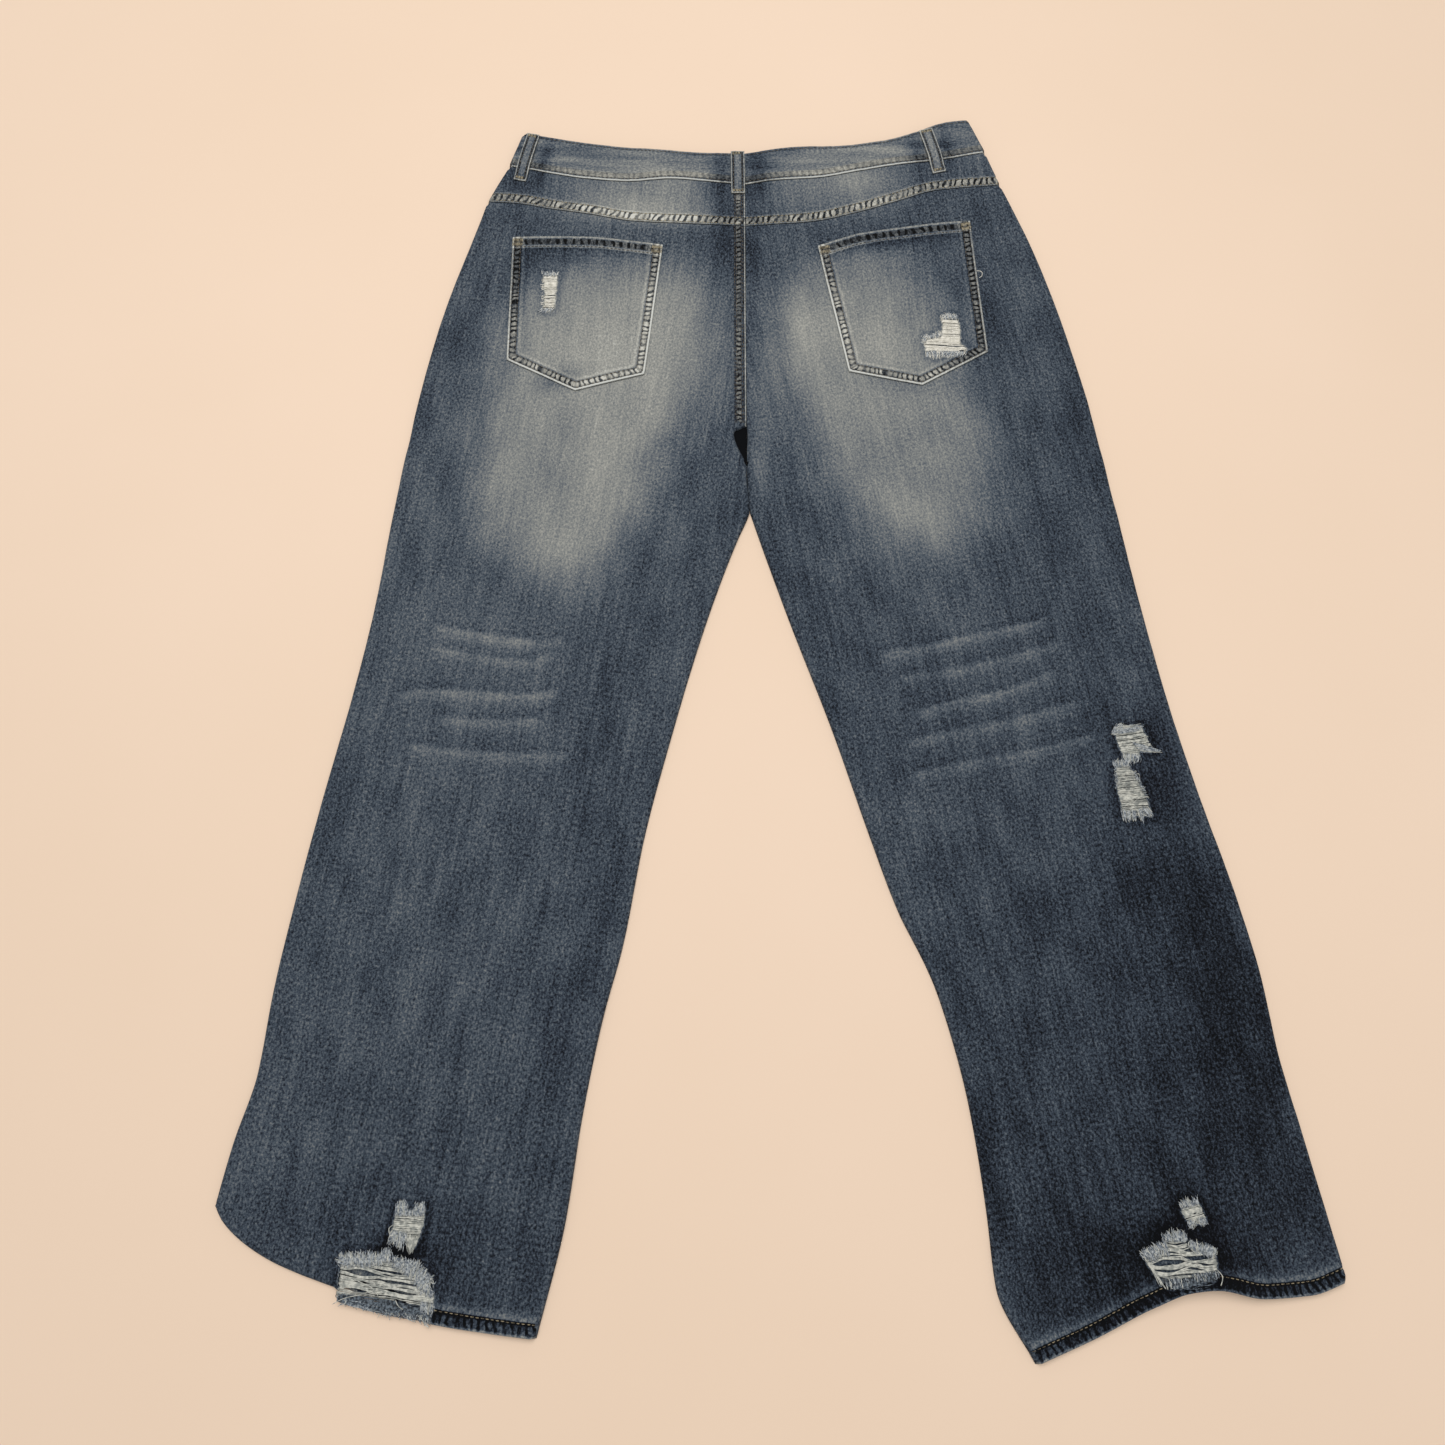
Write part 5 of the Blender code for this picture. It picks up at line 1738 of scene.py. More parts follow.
RIPS = (
    Rip("pocket_left", "pocket_left",
        ((-222.5, 390), (-221, 398), (-217, 395), (-212, 398), (-208, 394), (-209, 373), (-210, 357),
         (-214, 353), (-221, 354), (-219.5, 363), (-219.5, 375)), 0,
        (Slot((-219, 368), (-214.5, 368), 0.8),),
        (Fringe(((-222, 394), (-207, 394)), ((-224, 401), (-217, 399), (-206, 400)), 66, 0.9),
         Fringe(((-221, 357), (-209, 357)), ((-227, 351), (-212, 351)), 66, 0.8),
         Fringe(((-221, 360), (-221, 390)), ((-223, 360), (-224, 390)), 30, 0.5, Yarn.WEFT)), seed=2),
    Rip("pocket_right", "pocket_right",
        ((173, 347), (179, 350), (186, 350), (190, 344), (191, 332), (190, 317), (196, 312), (195, 306),
         (185, 303), (173, 302), (163, 301), (157, 304), (156, 312), (153, 320), (157, 326), (162, 324),
         (169, 326), (171, 330), (174, 332), (174, 339)), -3,
        (Slot((188, 310), (195.5, 308), 1.6), Slot((160, 308), (166, 307), 0.8),
         Slot((173, 306), (181, 305.5), 0.5)),
        (Fringe(((173, 344), (189, 344)), ((173, 351), (180, 353), (190, 349)), 78, 0.7),
         Fringe(((157, 321), (171, 324)), ((153, 327), (161, 327), (172, 333)), 90, 0.9),
         Fringe(((156, 309), (196, 308)), ((156, 299), (175, 300), (197, 302)), 180, 0.9),
         Fringe(((157, 318), (157, 323)), ((151, 319), (154, 327)), 36, 0.9)),
        strays=(((211, 400), (214.5, 399), (216.5, 396.5), (216, 393.5), (212.5, 391.5)),), seed=3),
    Rip("knee_upper", "back_right",
        ((306, -79), (309, -73), (318, -73), (330, -72), (333, -80), (334, -87), (337, -92), (328, -93),
         (324, -97), (321, -102), (314, -103), (311, -99), (309, -93), (307, -86)), 8,
        (Slot((314, -76), (326, -74.5), 1.0), Slot((316, -86), (322, -87), 0.4)),
        (Fringe(((302, -79), (305, -72)), ((329, -74), (333, -69)), 36, 0.8),
         Fringe(((302, -78), (311, -76)), ((310, -68), (315, -68)), 54, 0.8),
         Fringe(((320, -86), (326, -95)), ((344, -93.5), (346, -95)), 48, 0.5),
         Fringe(((311, -96), (325, -97)), ((310, -106), (323, -105)), 78, 0.8),
         Fringe(((330, -80), (333, -90)), ((334, -80), (337, -90)), 24, 0.6, Yarn.WEFT)), seed=4),
    Rip("knee_lower", "back_right",
        ((303, -108), (308, -104), (313, -104), (316, -110), (320, -115), (323, -122), (326, -130),
         (328, -140), (330, -147), (331, -152), (306, -153), (305, -142), (303, -131), (302, -120)), 4,
        (Slot((309, -124), (318, -125), 0.4), Slot((308, -141), (327, -140), 0.4),
         Slot((315, -138), (318.5, -138), 0.9)),
        (Fringe(((303, -109), (315, -108)), ((301, -102), (316, -100)), 72, 0.9),
         Fringe(((305, -146), (308, -146)), ((306, -157), (308, -157)), 20, 0.4),
         Fringe(((309, -147), (312, -147)), ((310.5, -158), (312, -158)), 20, 0.4),
         Fringe(((313, -147), (317, -147)), ((314.5, -157), (316, -157)), 20, 0.4),
         Fringe(((318, -146), (322, -146)), ((321, -158), (323, -157)), 23, 0.4),
         Fringe(((323, -145), (328, -145)), ((329, -154), (332, -152)), 26, 0.5),
         Fringe(((318, -112), (326, -136)), ((321, -111), (330, -136)), 36, 0.7),
         Fringe(((304, -110), (304, -130)), ((301, -110), (301.5, -130)), 30, 0.6)), seed=5),
    Rip("hem_left_small", "back_left",
        ((-301, -466), (-297, -469), (-290, -471), (-284, -469), (-279, -467), (-279, -480), (-282, -488),
         (-285, -496), (-289, -497), (-291, -489), (-296, -491), (-302, -490), (-305, -485), (-303, -477)),
         -4, (),
        (Fringe(((-302, -473), (-293, -472)), ((-300, -461), (-295, -461)), 72, 0.9),
         Fringe(((-287, -472), (-279, -472)), ((-286, -463), (-280, -462)), 66, 0.9),
         Fringe(((-299, -473), (-281, -473)), ((-297, -467), (-283, -467)), 66, 0.9),
         Fringe(((-304, -483), (-292, -485)), ((-306, -493), (-294, -498)), 102, 0.9),
         Fringe(((-292, -486), (-282, -488)), ((-289, -501), (-286, -497)), 54, 0.5, Yarn.WEFT)),
        strays=(((-303, -479), (-306, -482), (-304, -487), (-299, -486)),), seed=6),
    Rip("hem_left_large", "back_left",
        ((-342, -505), (-336, -501), (-324, -502), (-307, -500), (-302, -503), (-283, -507), (-270, -519),
         (-268, -528), (-268, -540), (-271, -553), (-305, -545), (-340, -535), (-343, -520)), -8,
        (Slot((-337, -510), (-313, -518), 2.0), Slot((-318, -511), (-287, -516), 1.0),
         Slot((-310, -514.5), (-299, -516.5), 0.8), Slot((-314, -519.5), (-279, -522), 0.9),
         Slot((-306, -526), (-281, -530), 1.0), Slot((-339, -523), (-319, -529), 1.3),
         Slot((-300, -523), (-283, -526), 0.7), Slot((-330, -519), (-318, -522), 0.8)),
        (Fringe(((-340, -508), (-310, -507)), ((-344, -499), (-324, -498), (-309, -498)), 180, 0.9),
         Fringe(((-340, -503), (-310, -502)), ((-338, -511), (-309, -510)), 120, 0.9),
         Fringe(((-302, -506), (-284, -510), (-270, -522)), ((-301, -501), (-282, -504), (-266, -518)), 144,
                0.9),
         Fringe(((-300, -504), (-282, -508), (-270, -520)), ((-302, -511), (-287, -518), (-279, -531)), 156,
                0.9),
         Fringe(((-282, -512), (-269, -527)), ((-280, -524), (-269, -533)), 120, 0.9),
         Fringe(((-311, -507), (-303, -507)), ((-310, -495), (-304, -495)), 60, 0.8),
         Fringe(((-339, -508), (-336, -504)), ((-347, -505), (-343, -499)), 36, 0.8),
         Fringe(((-342, -528), (-322, -532), (-305, -536), (-286, -539), (-270, -541)),
                ((-342, -534), (-322, -539), (-305, -543), (-286, -546), (-270, -550)), 190, 0.8, Yarn.DARK),
         Fringe(((-342, -530), (-322, -535), (-305, -539), (-286, -542), (-270, -544)),
                ((-342, -535), (-322, -540), (-305, -545), (-286, -547), (-270, -552)), 120, 1.1),
         Fringe(((-342, -530), (-342, -534)), ((-270, -540), (-269, -549)), 60, 1.2, Yarn.DARK),
         Fringe(((-335, -533), (-335, -537)), ((-300, -539), (-300, -545)), 30, 1.0),
         Fringe(((-277, -534), (-267, -536)), ((-276, -545), (-266, -546)), 50, 0.8)),
        bridge=((-341, -507), (-329, -506), (-319, -505), (-308, -504), (-288, -509), (-281, -515),
                (-277, -526), (-268, -529), (-269, -540), (-277, -537), (-292, -534), (-311, -532),
                (-331, -531), (-343, -531)),
        strays=(((-346, -536), (-338, -532), (-330, -530), (-321, -529)),
                ((-331, -518), (-323, -521), (-316, -524), (-310, -531)),
                ((-297, -533), (-294, -537), (-290, -540))), sway=0.3, seed=7),
    Rip("hem_right_small", "back_right",
        ((319, -463), (326, -463), (332, -461), (335, -465), (337, -471), (339, -477), (335, -479),
         (331, -478), (325, -480), (322.5, -475), (320.5, -470)), 16,
        (Slot((328, -471), (331, -470), 0.6),),
        (Fringe(((321, -467), (334, -464)), ((318, -461), (326, -459), (334, -457)), 70, 0.4),
         Fringe(((324, -475), (329, -476)), ((325, -482), (329, -481)), 40, 0.8),
         Fringe(((331, -474), (337, -473)), ((333, -480), (339, -478)), 44, 0.8)), seed=8),
    Rip("hem_right_large", "back_right",
        ((285, -500), (291, -497), (299, -494), (305, -490), (307, -486), (314, -484), (319, -486),
         (321, -490), (331, -491), (338, -493), (342, -499), (342, -508), (340, -518), (331, -519),
         (321, -522), (314, -524), (303, -525), (298, -523), (291, -510)), 3,
        (Slot((293, -508), (318, -504.5), 2.6), Slot((317, -504), (340, -500.5), 1.3),
         Slot((294, -511.5), (315, -512.5), 1.1), Slot((319, -511), (331, -508.5), 1.6),
         Slot((318, -496.5), (331, -497.5), 1.2), Slot((298, -499.5), (316, -499), 1.1),
         Slot((322, -507), (340, -506), 1.0), Slot((303, -515), (330, -513), 0.9)),
        (Fringe(((305, -491), (320, -491)), ((303, -484), (311, -481), (321, -484)), 120, 1.0),
         Fringe(((287, -503), (306, -496)), ((283, -498), (304, -489)), 120, 0.5),
         Fringe(((287, -500), (306, -494)), ((289, -507), (307, -502)), 66, 0.7),
         Fringe(((322, -495), (342, -500)), ((323, -489), (344, -494)), 108, 0.9),
         Fringe(((323, -492), (341, -497)), ((324, -499), (341, -504)), 54, 0.8),
         Fringe(((301, -517), (320, -516)), ((303, -527), (321, -525)), 46, 0.9, Yarn.DARK),
         Fringe(((301, -517), (320, -516)), ((303, -527), (321, -525)), 26, 0.9),
         Fringe(((322, -513), (341, -511)), ((323, -523), (342, -520)), 56, 1.0, Yarn.DARK),
         Fringe(((322, -513), (341, -511)), ((323, -521), (342, -518)), 26, 0.9),
         Fringe(((303, -523), (322, -523)), ((341, -521), (342, -519)), 24, 1.4, Yarn.DARK),
         Fringe(((287, -503), (291, -508)), ((299, -527), (303, -527)), 14, 0.4, Yarn.WEFT)),
        bridge=((287, -503), (296, -501), (306, -499), (309, -489), (319, -489), (321, -495), (331, -497),
                (341, -498), (342, -505), (341, -512), (332, -514), (320, -516), (303, -517), (297, -516),
                (291, -509)),
        strays=(((341, -510), (344, -515), (342, -522)),), sway=1.0, seed=9),
)


def dress(piece: Object, material: Material, node: str | None = None) -> Object:
    """Gives a piece its material, body and slot, and hides the CAD node that it stands for.

    Args:
        piece: the piece.
        material: its finish.
        node: the CAD node that it replaces, if any.

    Returns:
        The piece.
    """
    piece.data.materials.append(material)
    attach(piece, "root")
    if node:
        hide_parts(node)
    log.info("%s: %d faces", piece.name, len(piece.data.polygons))
    return piece


def lay(panel: Panel, material: Material, slot: str, node: str, **cut: object) -> Object:
    """Makes a panel's cloth and dresses it.

    Args:
        panel: the panel.
        material: its finish.
        slot: not used.
        node: the CAD node that it replaces.
        cut: not used.

    Returns:
        The piece.
    """
    piece = dress(panel.build(), material, node)
    return piece


# Stitching

# Heights of a stitch's points above the cloth: both ends dive into it
STITCH_ARCH = np.array([-0.25, 0.18, 0.3, 0.18, -0.25])


@dataclass(frozen=True)
class Stitches:
    """A row of machine stitches.

    Attributes:
        line: the row's route in plan.
        length: length of one stitch.
        gap: gap between stitches.
        radius: the thread's radius.
    """

    line: Array
    length: float = 3.1
    gap: float = 0.9
    radius: float = 0.36

    def paths(self, surface: Surface, rng: np.random.Generator) -> list[Array]:
        """Each stitch's points, sunk into the cloth at both ends.

        Args:
            surface: what is sewn.
            rng: makes the stitches uneven.

        Returns:
            One path for each stitch.
        """
        fine = spaced(self.line, 0.5)
        end = runs(fine)[-1]
        found = []
        start = self.gap
        while start + self.length < end:
            plan = along(fine, start + np.linspace(0, self.length, len(STITCH_ARCH)))
            plan = plan + rng.normal(0, 0.08, 2)
            z = surface.heights(plan)
            if z.min() > 0.5:
                found.append(np.column_stack([plan, z + STITCH_ARCH]))
            start += self.length + self.gap + rng.normal(0, 0.12)
        return found


def inset_rows(line: Array, insets: Sequence[float], **settings: float) -> list[Stitches]:
    """Stitch rows at distances to the left of a line."""
    return [Stitches(offset_line(spaced(line, 3.0), inset), **settings) for inset in insets]


def crossing(a: Array, b: Array, c: Array, d: Array) -> Array:
    """Where the line through a and b crosses the line through c and d."""
    u, v, gap = b - a, d - c, c - a
    return a + u * ((gap[0] * v[1] - gap[1] * v[0]) / (u[0] * v[1] - u[1] * v[0]))


def bar_tack(corner: Array, other: Array) -> list[Stitches]:
    """Dense upright stitches in a square at one end of a pocket's mouth.

    Args:
        corner: this end of the mouth.
        other: its far end.

    Returns:
        The tack's rows.
    """
    along_mouth = (other - corner) / np.linalg.norm(other - corner)
    down = np.array([along_mouth[1], -along_mouth[0]]) * np.sign(along_mouth[0])
    starts = [corner + along_mouth * (1.2 + 1.15 * k) + down * 1.2 for k in range(9)]
    return [Stitches(np.array([start, start + down * 10.5]), 4.6, 0.25, 0.4) for start in starts]


def pocket_rows(rest: Array) -> list[Stitches]:
    """Double rows round a pocket's sides and foot, mitred at its corners.

    Args:
        rest: the outline's corners, anticlockwise, without the mouth.

    Returns:
        The rows.
    """
    made = []
    for inset in POCKET_FOLD.rows:
        lines = []
        for a, b in zip(rest[:-1], rest[1:]):
            d = (b - a) / np.linalg.norm(b - a)
            n = np.array([-d[1], d[0]]) * inset
            lines.append((a + n, b + n))
        corners = [crossing(*first, *second) for first, second in zip(lines[:-1], lines[1:])]
        made.append(Stitches(spaced(np.array([lines[0][0], *corners, lines[-1][1]]), 2.0)))
    return made


@dataclass
class Topstitching:
    """The thread on one surface: rows of stitches and bar tacks."""

    finishes: Finishes
    surface: Surface

    def sew(self, name: str, rows: Sequence[Stitches], thread: Material, seed: int = 1) -> None:
        """Sews rows of stitches as one piece.

        Args:
            name: the piece's name.
            rows: the rows.
            thread: the thread's finish.
            seed: makes the stitches repeatable.
        """
        rng = np.random.default_rng(seed)
        paths, radii = [], []
        for row in rows:
            made = row.paths(self.surface, rng)
            paths += made
            radii += [row.radius] * len(made)
        dress(Shop.strands(name, paths, radii), thread)

    def side(self, pocket: "BackPocket") -> None:
        """Sews the yoke, waistband, pocket and hem of one side.

        Args:
            pocket: that side's pocket.
        """
        side = pocket.side
        sign = 1 if side is Side.LEFT else -1
        yoke, waist = smooth_line(YOKE_SEAM[side])[::sign], smooth_line(WAIST_SEAM[side])[::sign]
        top, hem = smooth_line(WAIST_TOP[side])[::-sign], smooth_line(HEM[side])[::sign]
        if side is Side.LEFT:
            hem = hem[hem[:, 0] > ROLLED_HEM_X + 8]
        mouth, rest = pocket.lines()
        band = inset_rows(waist, WAIST_FOLD.rows) + inset_rows(top, WAIST_CREST.rows)
        around = inset_rows(mouth[::-1], MOUTH_FOLD.rows) + pocket_rows(rest[::-1])
        tacks = bar_tack(mouth[0], mouth[-1]) + bar_tack(mouth[-1], mouth[0])
        tan, umber, name = self.finishes.tan, self.finishes.umber, side.value
        self.sew("stitches_yoke_" + name, inset_rows(yoke, YOKE_FOLD.rows), tan)
        self.sew("stitches_waist_" + name, band, umber, 2)
        self.sew("stitches_pocket_" + name, around, umber, 3)
        self.sew("bar_tacks_pocket_" + name, tacks, tan, 4)
        rows = inset_rows(hem, HEMMED.rows, length=2.9, gap=1.2, radius=0.36)
        self.sew("stitches_hem_" + name, rows, self.finishes.gold, 5)

    def centre(self) -> None:
        """Sews the centre seam."""
        line = np.array([(CENTRE_X - SEAM_GAP / 2, SEAM_END_Y), (CENTRE_X - SEAM_GAP / 2, WAIST_CENTRE_Y)])
        self.sew("stitches_centre", inset_rows(line, CENTRE_FOLD.rows), self.finishes.umber, 7)

    def belt_loops(self, loops: list["BeltLoop"]) -> None:
        """Sews the belt loops' edges and ends."""
        self.sew("stitches_belt_loops", [row for loop in loops for row in loop.rows()],
                 self.finishes.umber, 9)
        self.sew("bar_tacks_belt_loops", [row for loop in loops for row in loop.tacks()],
                 self.finishes.tan, 10)


# The garment's parts


def leg_lines(side: Side) -> tuple[Array, Array]:
    """The outseam, and the centre seam with the inseam, from the yoke to the hem.

    Args:
        side: which leg.

    Returns:
        Both lines.
    """
    table = LEGS[side]
    falls = np.array([table[0].out_y - section.out_y for section in table], float)
    columns = np.array([section[1:] for section in table], float).T
    fine = np.linspace(0, falls[-1], LEG_POINTS)
    out_x, out_y, in_x, in_y = (monotone(falls, values, fine) for values in columns)
    return np.column_stack([out_x, out_y]), np.column_stack([in_x, in_y])


def cut_at(line: Array, height: float) -> tuple[Array, Array]:
    """Splits a falling line at a height."""
    k = int(np.argmax(line[:, 1] < height))
    return line[:k + 1], line[k:]


@dataclass
class BackLeg:
    """Back panel of one leg, from the yoke seam to the hem.

    Attributes:
        side: which leg.
        grain: direction of its warp.
        knee: where the finely meshed zone of its knee starts and ends.
        flat: width and length of its cut in metres.
        area: area of its cut in square metres.
    """

    side: Side
    grain: float
    knee: Point
    flat: Point
    area: float

    def panel(self) -> Panel:
        """Draws the panel with its seams and rips.

        Returns:
            The panel.
        """
        outer, inner = leg_lines(self.side)
        seam, inseam = cut_at(inner, SEAM_END_Y)
        seam = seam + np.array([self.side.out * SEAM_GAP / 2, 0])
        inseam[0] = seam[-1]
        top = smooth_line(YOKE_SEAM[self.side]) - np.array([0, SEAM_GAP / 2])
        top[-1], top[0] = seam[0], outer[0]
        hem = smooth_line(HEM[self.side])[::-1]
        edges = [edge(top), edge(seam, CENTRE_FOLD if self.side is Side.LEFT else PLAIN),
                 edge(inseam, TURNED)]
        if self.side is Side.LEFT:
            k = int(np.argmax(hem[:, 0] < ROLLED_HEM_X))
            edges += [edge(hem[:k + 1], HEMMED), edge(hem[k:], TURNED)]
        else:
            edges.append(edge(hem, HEMMED))
        edges.append(edge(outer[::-1], TURNED))
        name = "back_" + self.side.value
        rips = [rip for rip in RIPS if rip.carrier == name]
        x0, x1 = self.knee
        knee = np.array([(x0, KNEE_LOW), (x1, KNEE_LOW), (x1, KNEE_TOP), (x0, KNEE_TOP)])
        return Panel(
            "denim_" + name, joined(edges), Lie.back_outside, holes=[rip.ring() for rip in rips],
            zones=[(knee, KNEE_PITCH)] + [(rip.zone(), RIP_PITCH) for rip in rips], grain=self.grain,
            wear=back_wear,
        )

    def build(self, finishes: Finishes) -> Object:
        """Makes the leg's cloth."""
        return lay(self.panel(), finishes.leg, "washed_denim", "back_" + self.side.value, flat=self.flat,
                   held="laid", rests_on=["front_" + self.side.value], area=self.area)


@dataclass
class Yoke:
    """Back yoke of one side, folded over the leg's top edge."""

    side: Side
    grain: float
    flat: Point
    area: float

    def build(self, finishes: Finishes) -> Object:
        """Makes the yoke's cloth.

        Args:
            finishes: the materials.

        Returns:
            The yoke.
        """
        low = smooth_line(YOKE_SEAM[self.side]) + np.array([0, SEAM_GAP / 2])
        top = smooth_line(WAIST_SEAM[self.side]) - np.array([0, SEAM_GAP / 2])
        low[-1, 0] += self.side.out * SEAM_GAP / 2
        top[-1, 0] += self.side.out * SEAM_GAP / 2
        edges = [
            edge(low, YOKE_FOLD), edge([low[-1], top[-1]], CENTRE_FOLD if self.side is Side.LEFT else PLAIN),
            edge(top[::-1]), edge([top[0], low[0]], TURNED),
        ]
        name = "yoke_" + self.side.value
        panel = Panel("denim_" + name, joined(edges), Lie.back_outside,
                      grain=self.grain, wear=back_wear, pitch=BAND_PITCH)
        return lay(panel, finishes.yoke, "washed_denim", name, flat=self.flat, held="laid",
                   rests_on=["front_" + self.side.value], area=self.area)


@dataclass
class BackWaistband:
    """Back length of the waistband, a double strip with a folded top edge."""

    flat: Point
    area: float

    def build(self, finishes: Finishes) -> Object:
        """Makes the band's cloth.

        Args:
            finishes: the materials.

        Returns:
            The band.
        """
        top, low = (
            np.concatenate([smooth_line(seam[Side.LEFT]), smooth_line(seam[Side.RIGHT])[::-1][1:]])
            for seam in (WAIST_TOP, WAIST_SEAM)
        )
        low = low + np.array([0, SEAM_GAP / 2])
        edges = [
            edge(top, WAIST_CREST), edge([top[-1], low[-1]], TURNED),
            edge(low[::-1], WAIST_FOLD), edge([low[0], top[0]], TURNED),
        ]
        panel = Panel("denim_waistband_back", joined(edges), lambda x, y: Lie.back_inside(x, y) + WAISTBAND,
                      thickness=WAISTBAND, grain=90, wear=back_wear, pitch=BAND_PITCH)
        return lay(panel, finishes.band, "seamed_denim", "waistband_back", flat=self.flat, held="folded",
                   rests_on=["waistband_front_left", "waistband_front_right"], area=self.area)


@dataclass
class BackPocket:
    """Five-sided patch pocket with a hemmed mouth."""

    side: Side
    flat: Point
    area: float

    def lines(self) -> tuple[Array, Array]:
        """Draws the outline.

        Returns:
            The mouth's curve, and the corners of the sides and foot.
        """
        points = np.array(POCKETS[self.side], float)
        count = MOUTH_POINTS[self.side]
        return smooth_line(points[:count]), np.concatenate([points[count - 1:], points[:1]])

    def build(self, finishes: Finishes, leg: Panel) -> Object:
        """Makes the pocket's cloth.

        Args:
            finishes: the materials.
            leg: the leg that it is sewn to.

        Returns:
            The pocket.
        """
        mouth, rest = self.lines()
        name = "pocket_" + self.side.value
        edges = [edge(mouth, MOUTH_FOLD, PATCH_PITCH)]
        edges += [edge([a, b], POCKET_FOLD, PATCH_PITCH) for a, b in zip(rest[:-1], rest[1:])]
        rips = [rip for rip in RIPS if rip.carrier == name]
        panel = Panel(
            "denim_" + name, joined(edges), lambda x, y: leg.base(x, y) + LAY_GAP + CLOTH,
            holes=[rip.ring() for rip in rips], zones=[(rip.zone(), RIP_PITCH) for rip in rips],
            grain=leg.grain * 0.3, wear=back_wear, pitch=PATCH_PITCH,
        )
        return lay(panel, finishes.pocket, "faded_denim", name, flat=self.flat, held="laid",
                   rests_on=["denim_back_" + self.side.value], area=self.area)


@dataclass
class BeltLoop:
    """Belt loop, a folded strip tacked at both ends."""

    name: str
    loop: Loop
    flat: Point

    def strip(self) -> tuple[Array, Array, Array, Array]:
        """Reads the loop's place.

        Returns:
            Its two ends, the direction down it, and the one across.
        """
        top, low = np.array(self.loop[:2]), np.array(self.loop[2:4])
        down = (low - top) / np.linalg.norm(low - top)
        return top, low, down, np.array([-down[1], down[0]])

    def outline(self, side: EdgeStyle, end: EdgeStyle, pitch: float) -> list[Edge]:
        """Draws the strip.

        Args:
            side, end: how its long and short edges are finished.
            pitch: spacing of their points.

        Returns:
            Its four edges.
        """
        top, low, _, across = self.strip()
        half = across * self.loop.width / 2
        corners = [top - half, low - half, low + half, top + half]
        return [edge([corners[k], corners[(k + 1) % 4]], (side, end)[k % 2], pitch) for k in range(4)]

    def build(self, finishes: Finishes, surface: Surface) -> Object:
        """Makes the loop's cloth over what it crosses.

        Args:
            finishes: the materials.
            surface: what it crosses.

        Returns:
            The loop.
        """
        top, low, down, across = self.strip()
        length = np.linalg.norm(low - top)
        stations = np.linspace(0, length, 24)
        around = np.array([across * a + down * b for a in (-6, 0, 6) for b in (-3, 0, 3)])
        crest = np.array([surface.heights(top + down * s + around).max() for s in stations])
        crest = np.maximum(crest, np.convolve(np.pad(crest, 2, "edge"), np.ones(5) / 5, "valid"))
        lift = 1.5 * np.sin(math.pi * np.clip((stations - 5) / (length - 10), 0, 1))

        def base(x: Array, y: Array) -> Array:
            """Outer face of the loop."""
            s = (x - top[0]) * down[0] + (y - top[1]) * down[1]
            return np.interp(s, stations, crest + lift) + LAY_GAP + LOOP_CLOTH

        panel = Panel(
            "denim_belt_loop_" + self.name, joined(self.outline(LOOP_FOLD, LOOP_END, LOOP_PITCH)), base,
            thickness=LOOP_CLOTH, grain=math.degrees(math.atan2(across[1], across[0])), wear=back_wear,
            pitch=LOOP_PITCH,
        )
        return lay(panel, finishes.loop, "seamed_denim", "belt_loop_" + self.name,
                   flat=self.flat, held="folded", rests_on=["denim_waistband_back"])

    def rows(self) -> list[Stitches]:
        """Draws a row along each edge.

        Returns:
            The rows.
        """
        top, low, _, across = self.strip()
        inset = self.loop.width / 2 - LOOP_FOLD.rows[0]
        return [Stitches(np.array([top, low]) + across * side * inset, 2.6, 0.9, 0.3) for side in (-1, 1)]

    def tacks(self) -> list[Stitches]:
        """Draws dense rows across both ends.

        Returns:
            The rows.
        """
        top, low, down, across = self.strip()
        reach = across * (self.loop.width / 2 - 1.2)
        spots = [end + step * (2.0 + 0.75 * k) for end, step in ((top, down), (low, -down)) for k in range(4)]
        return [Stitches(np.array([spot - reach, spot + reach]), 2.8, 0.15, 0.32) for spot in spots]


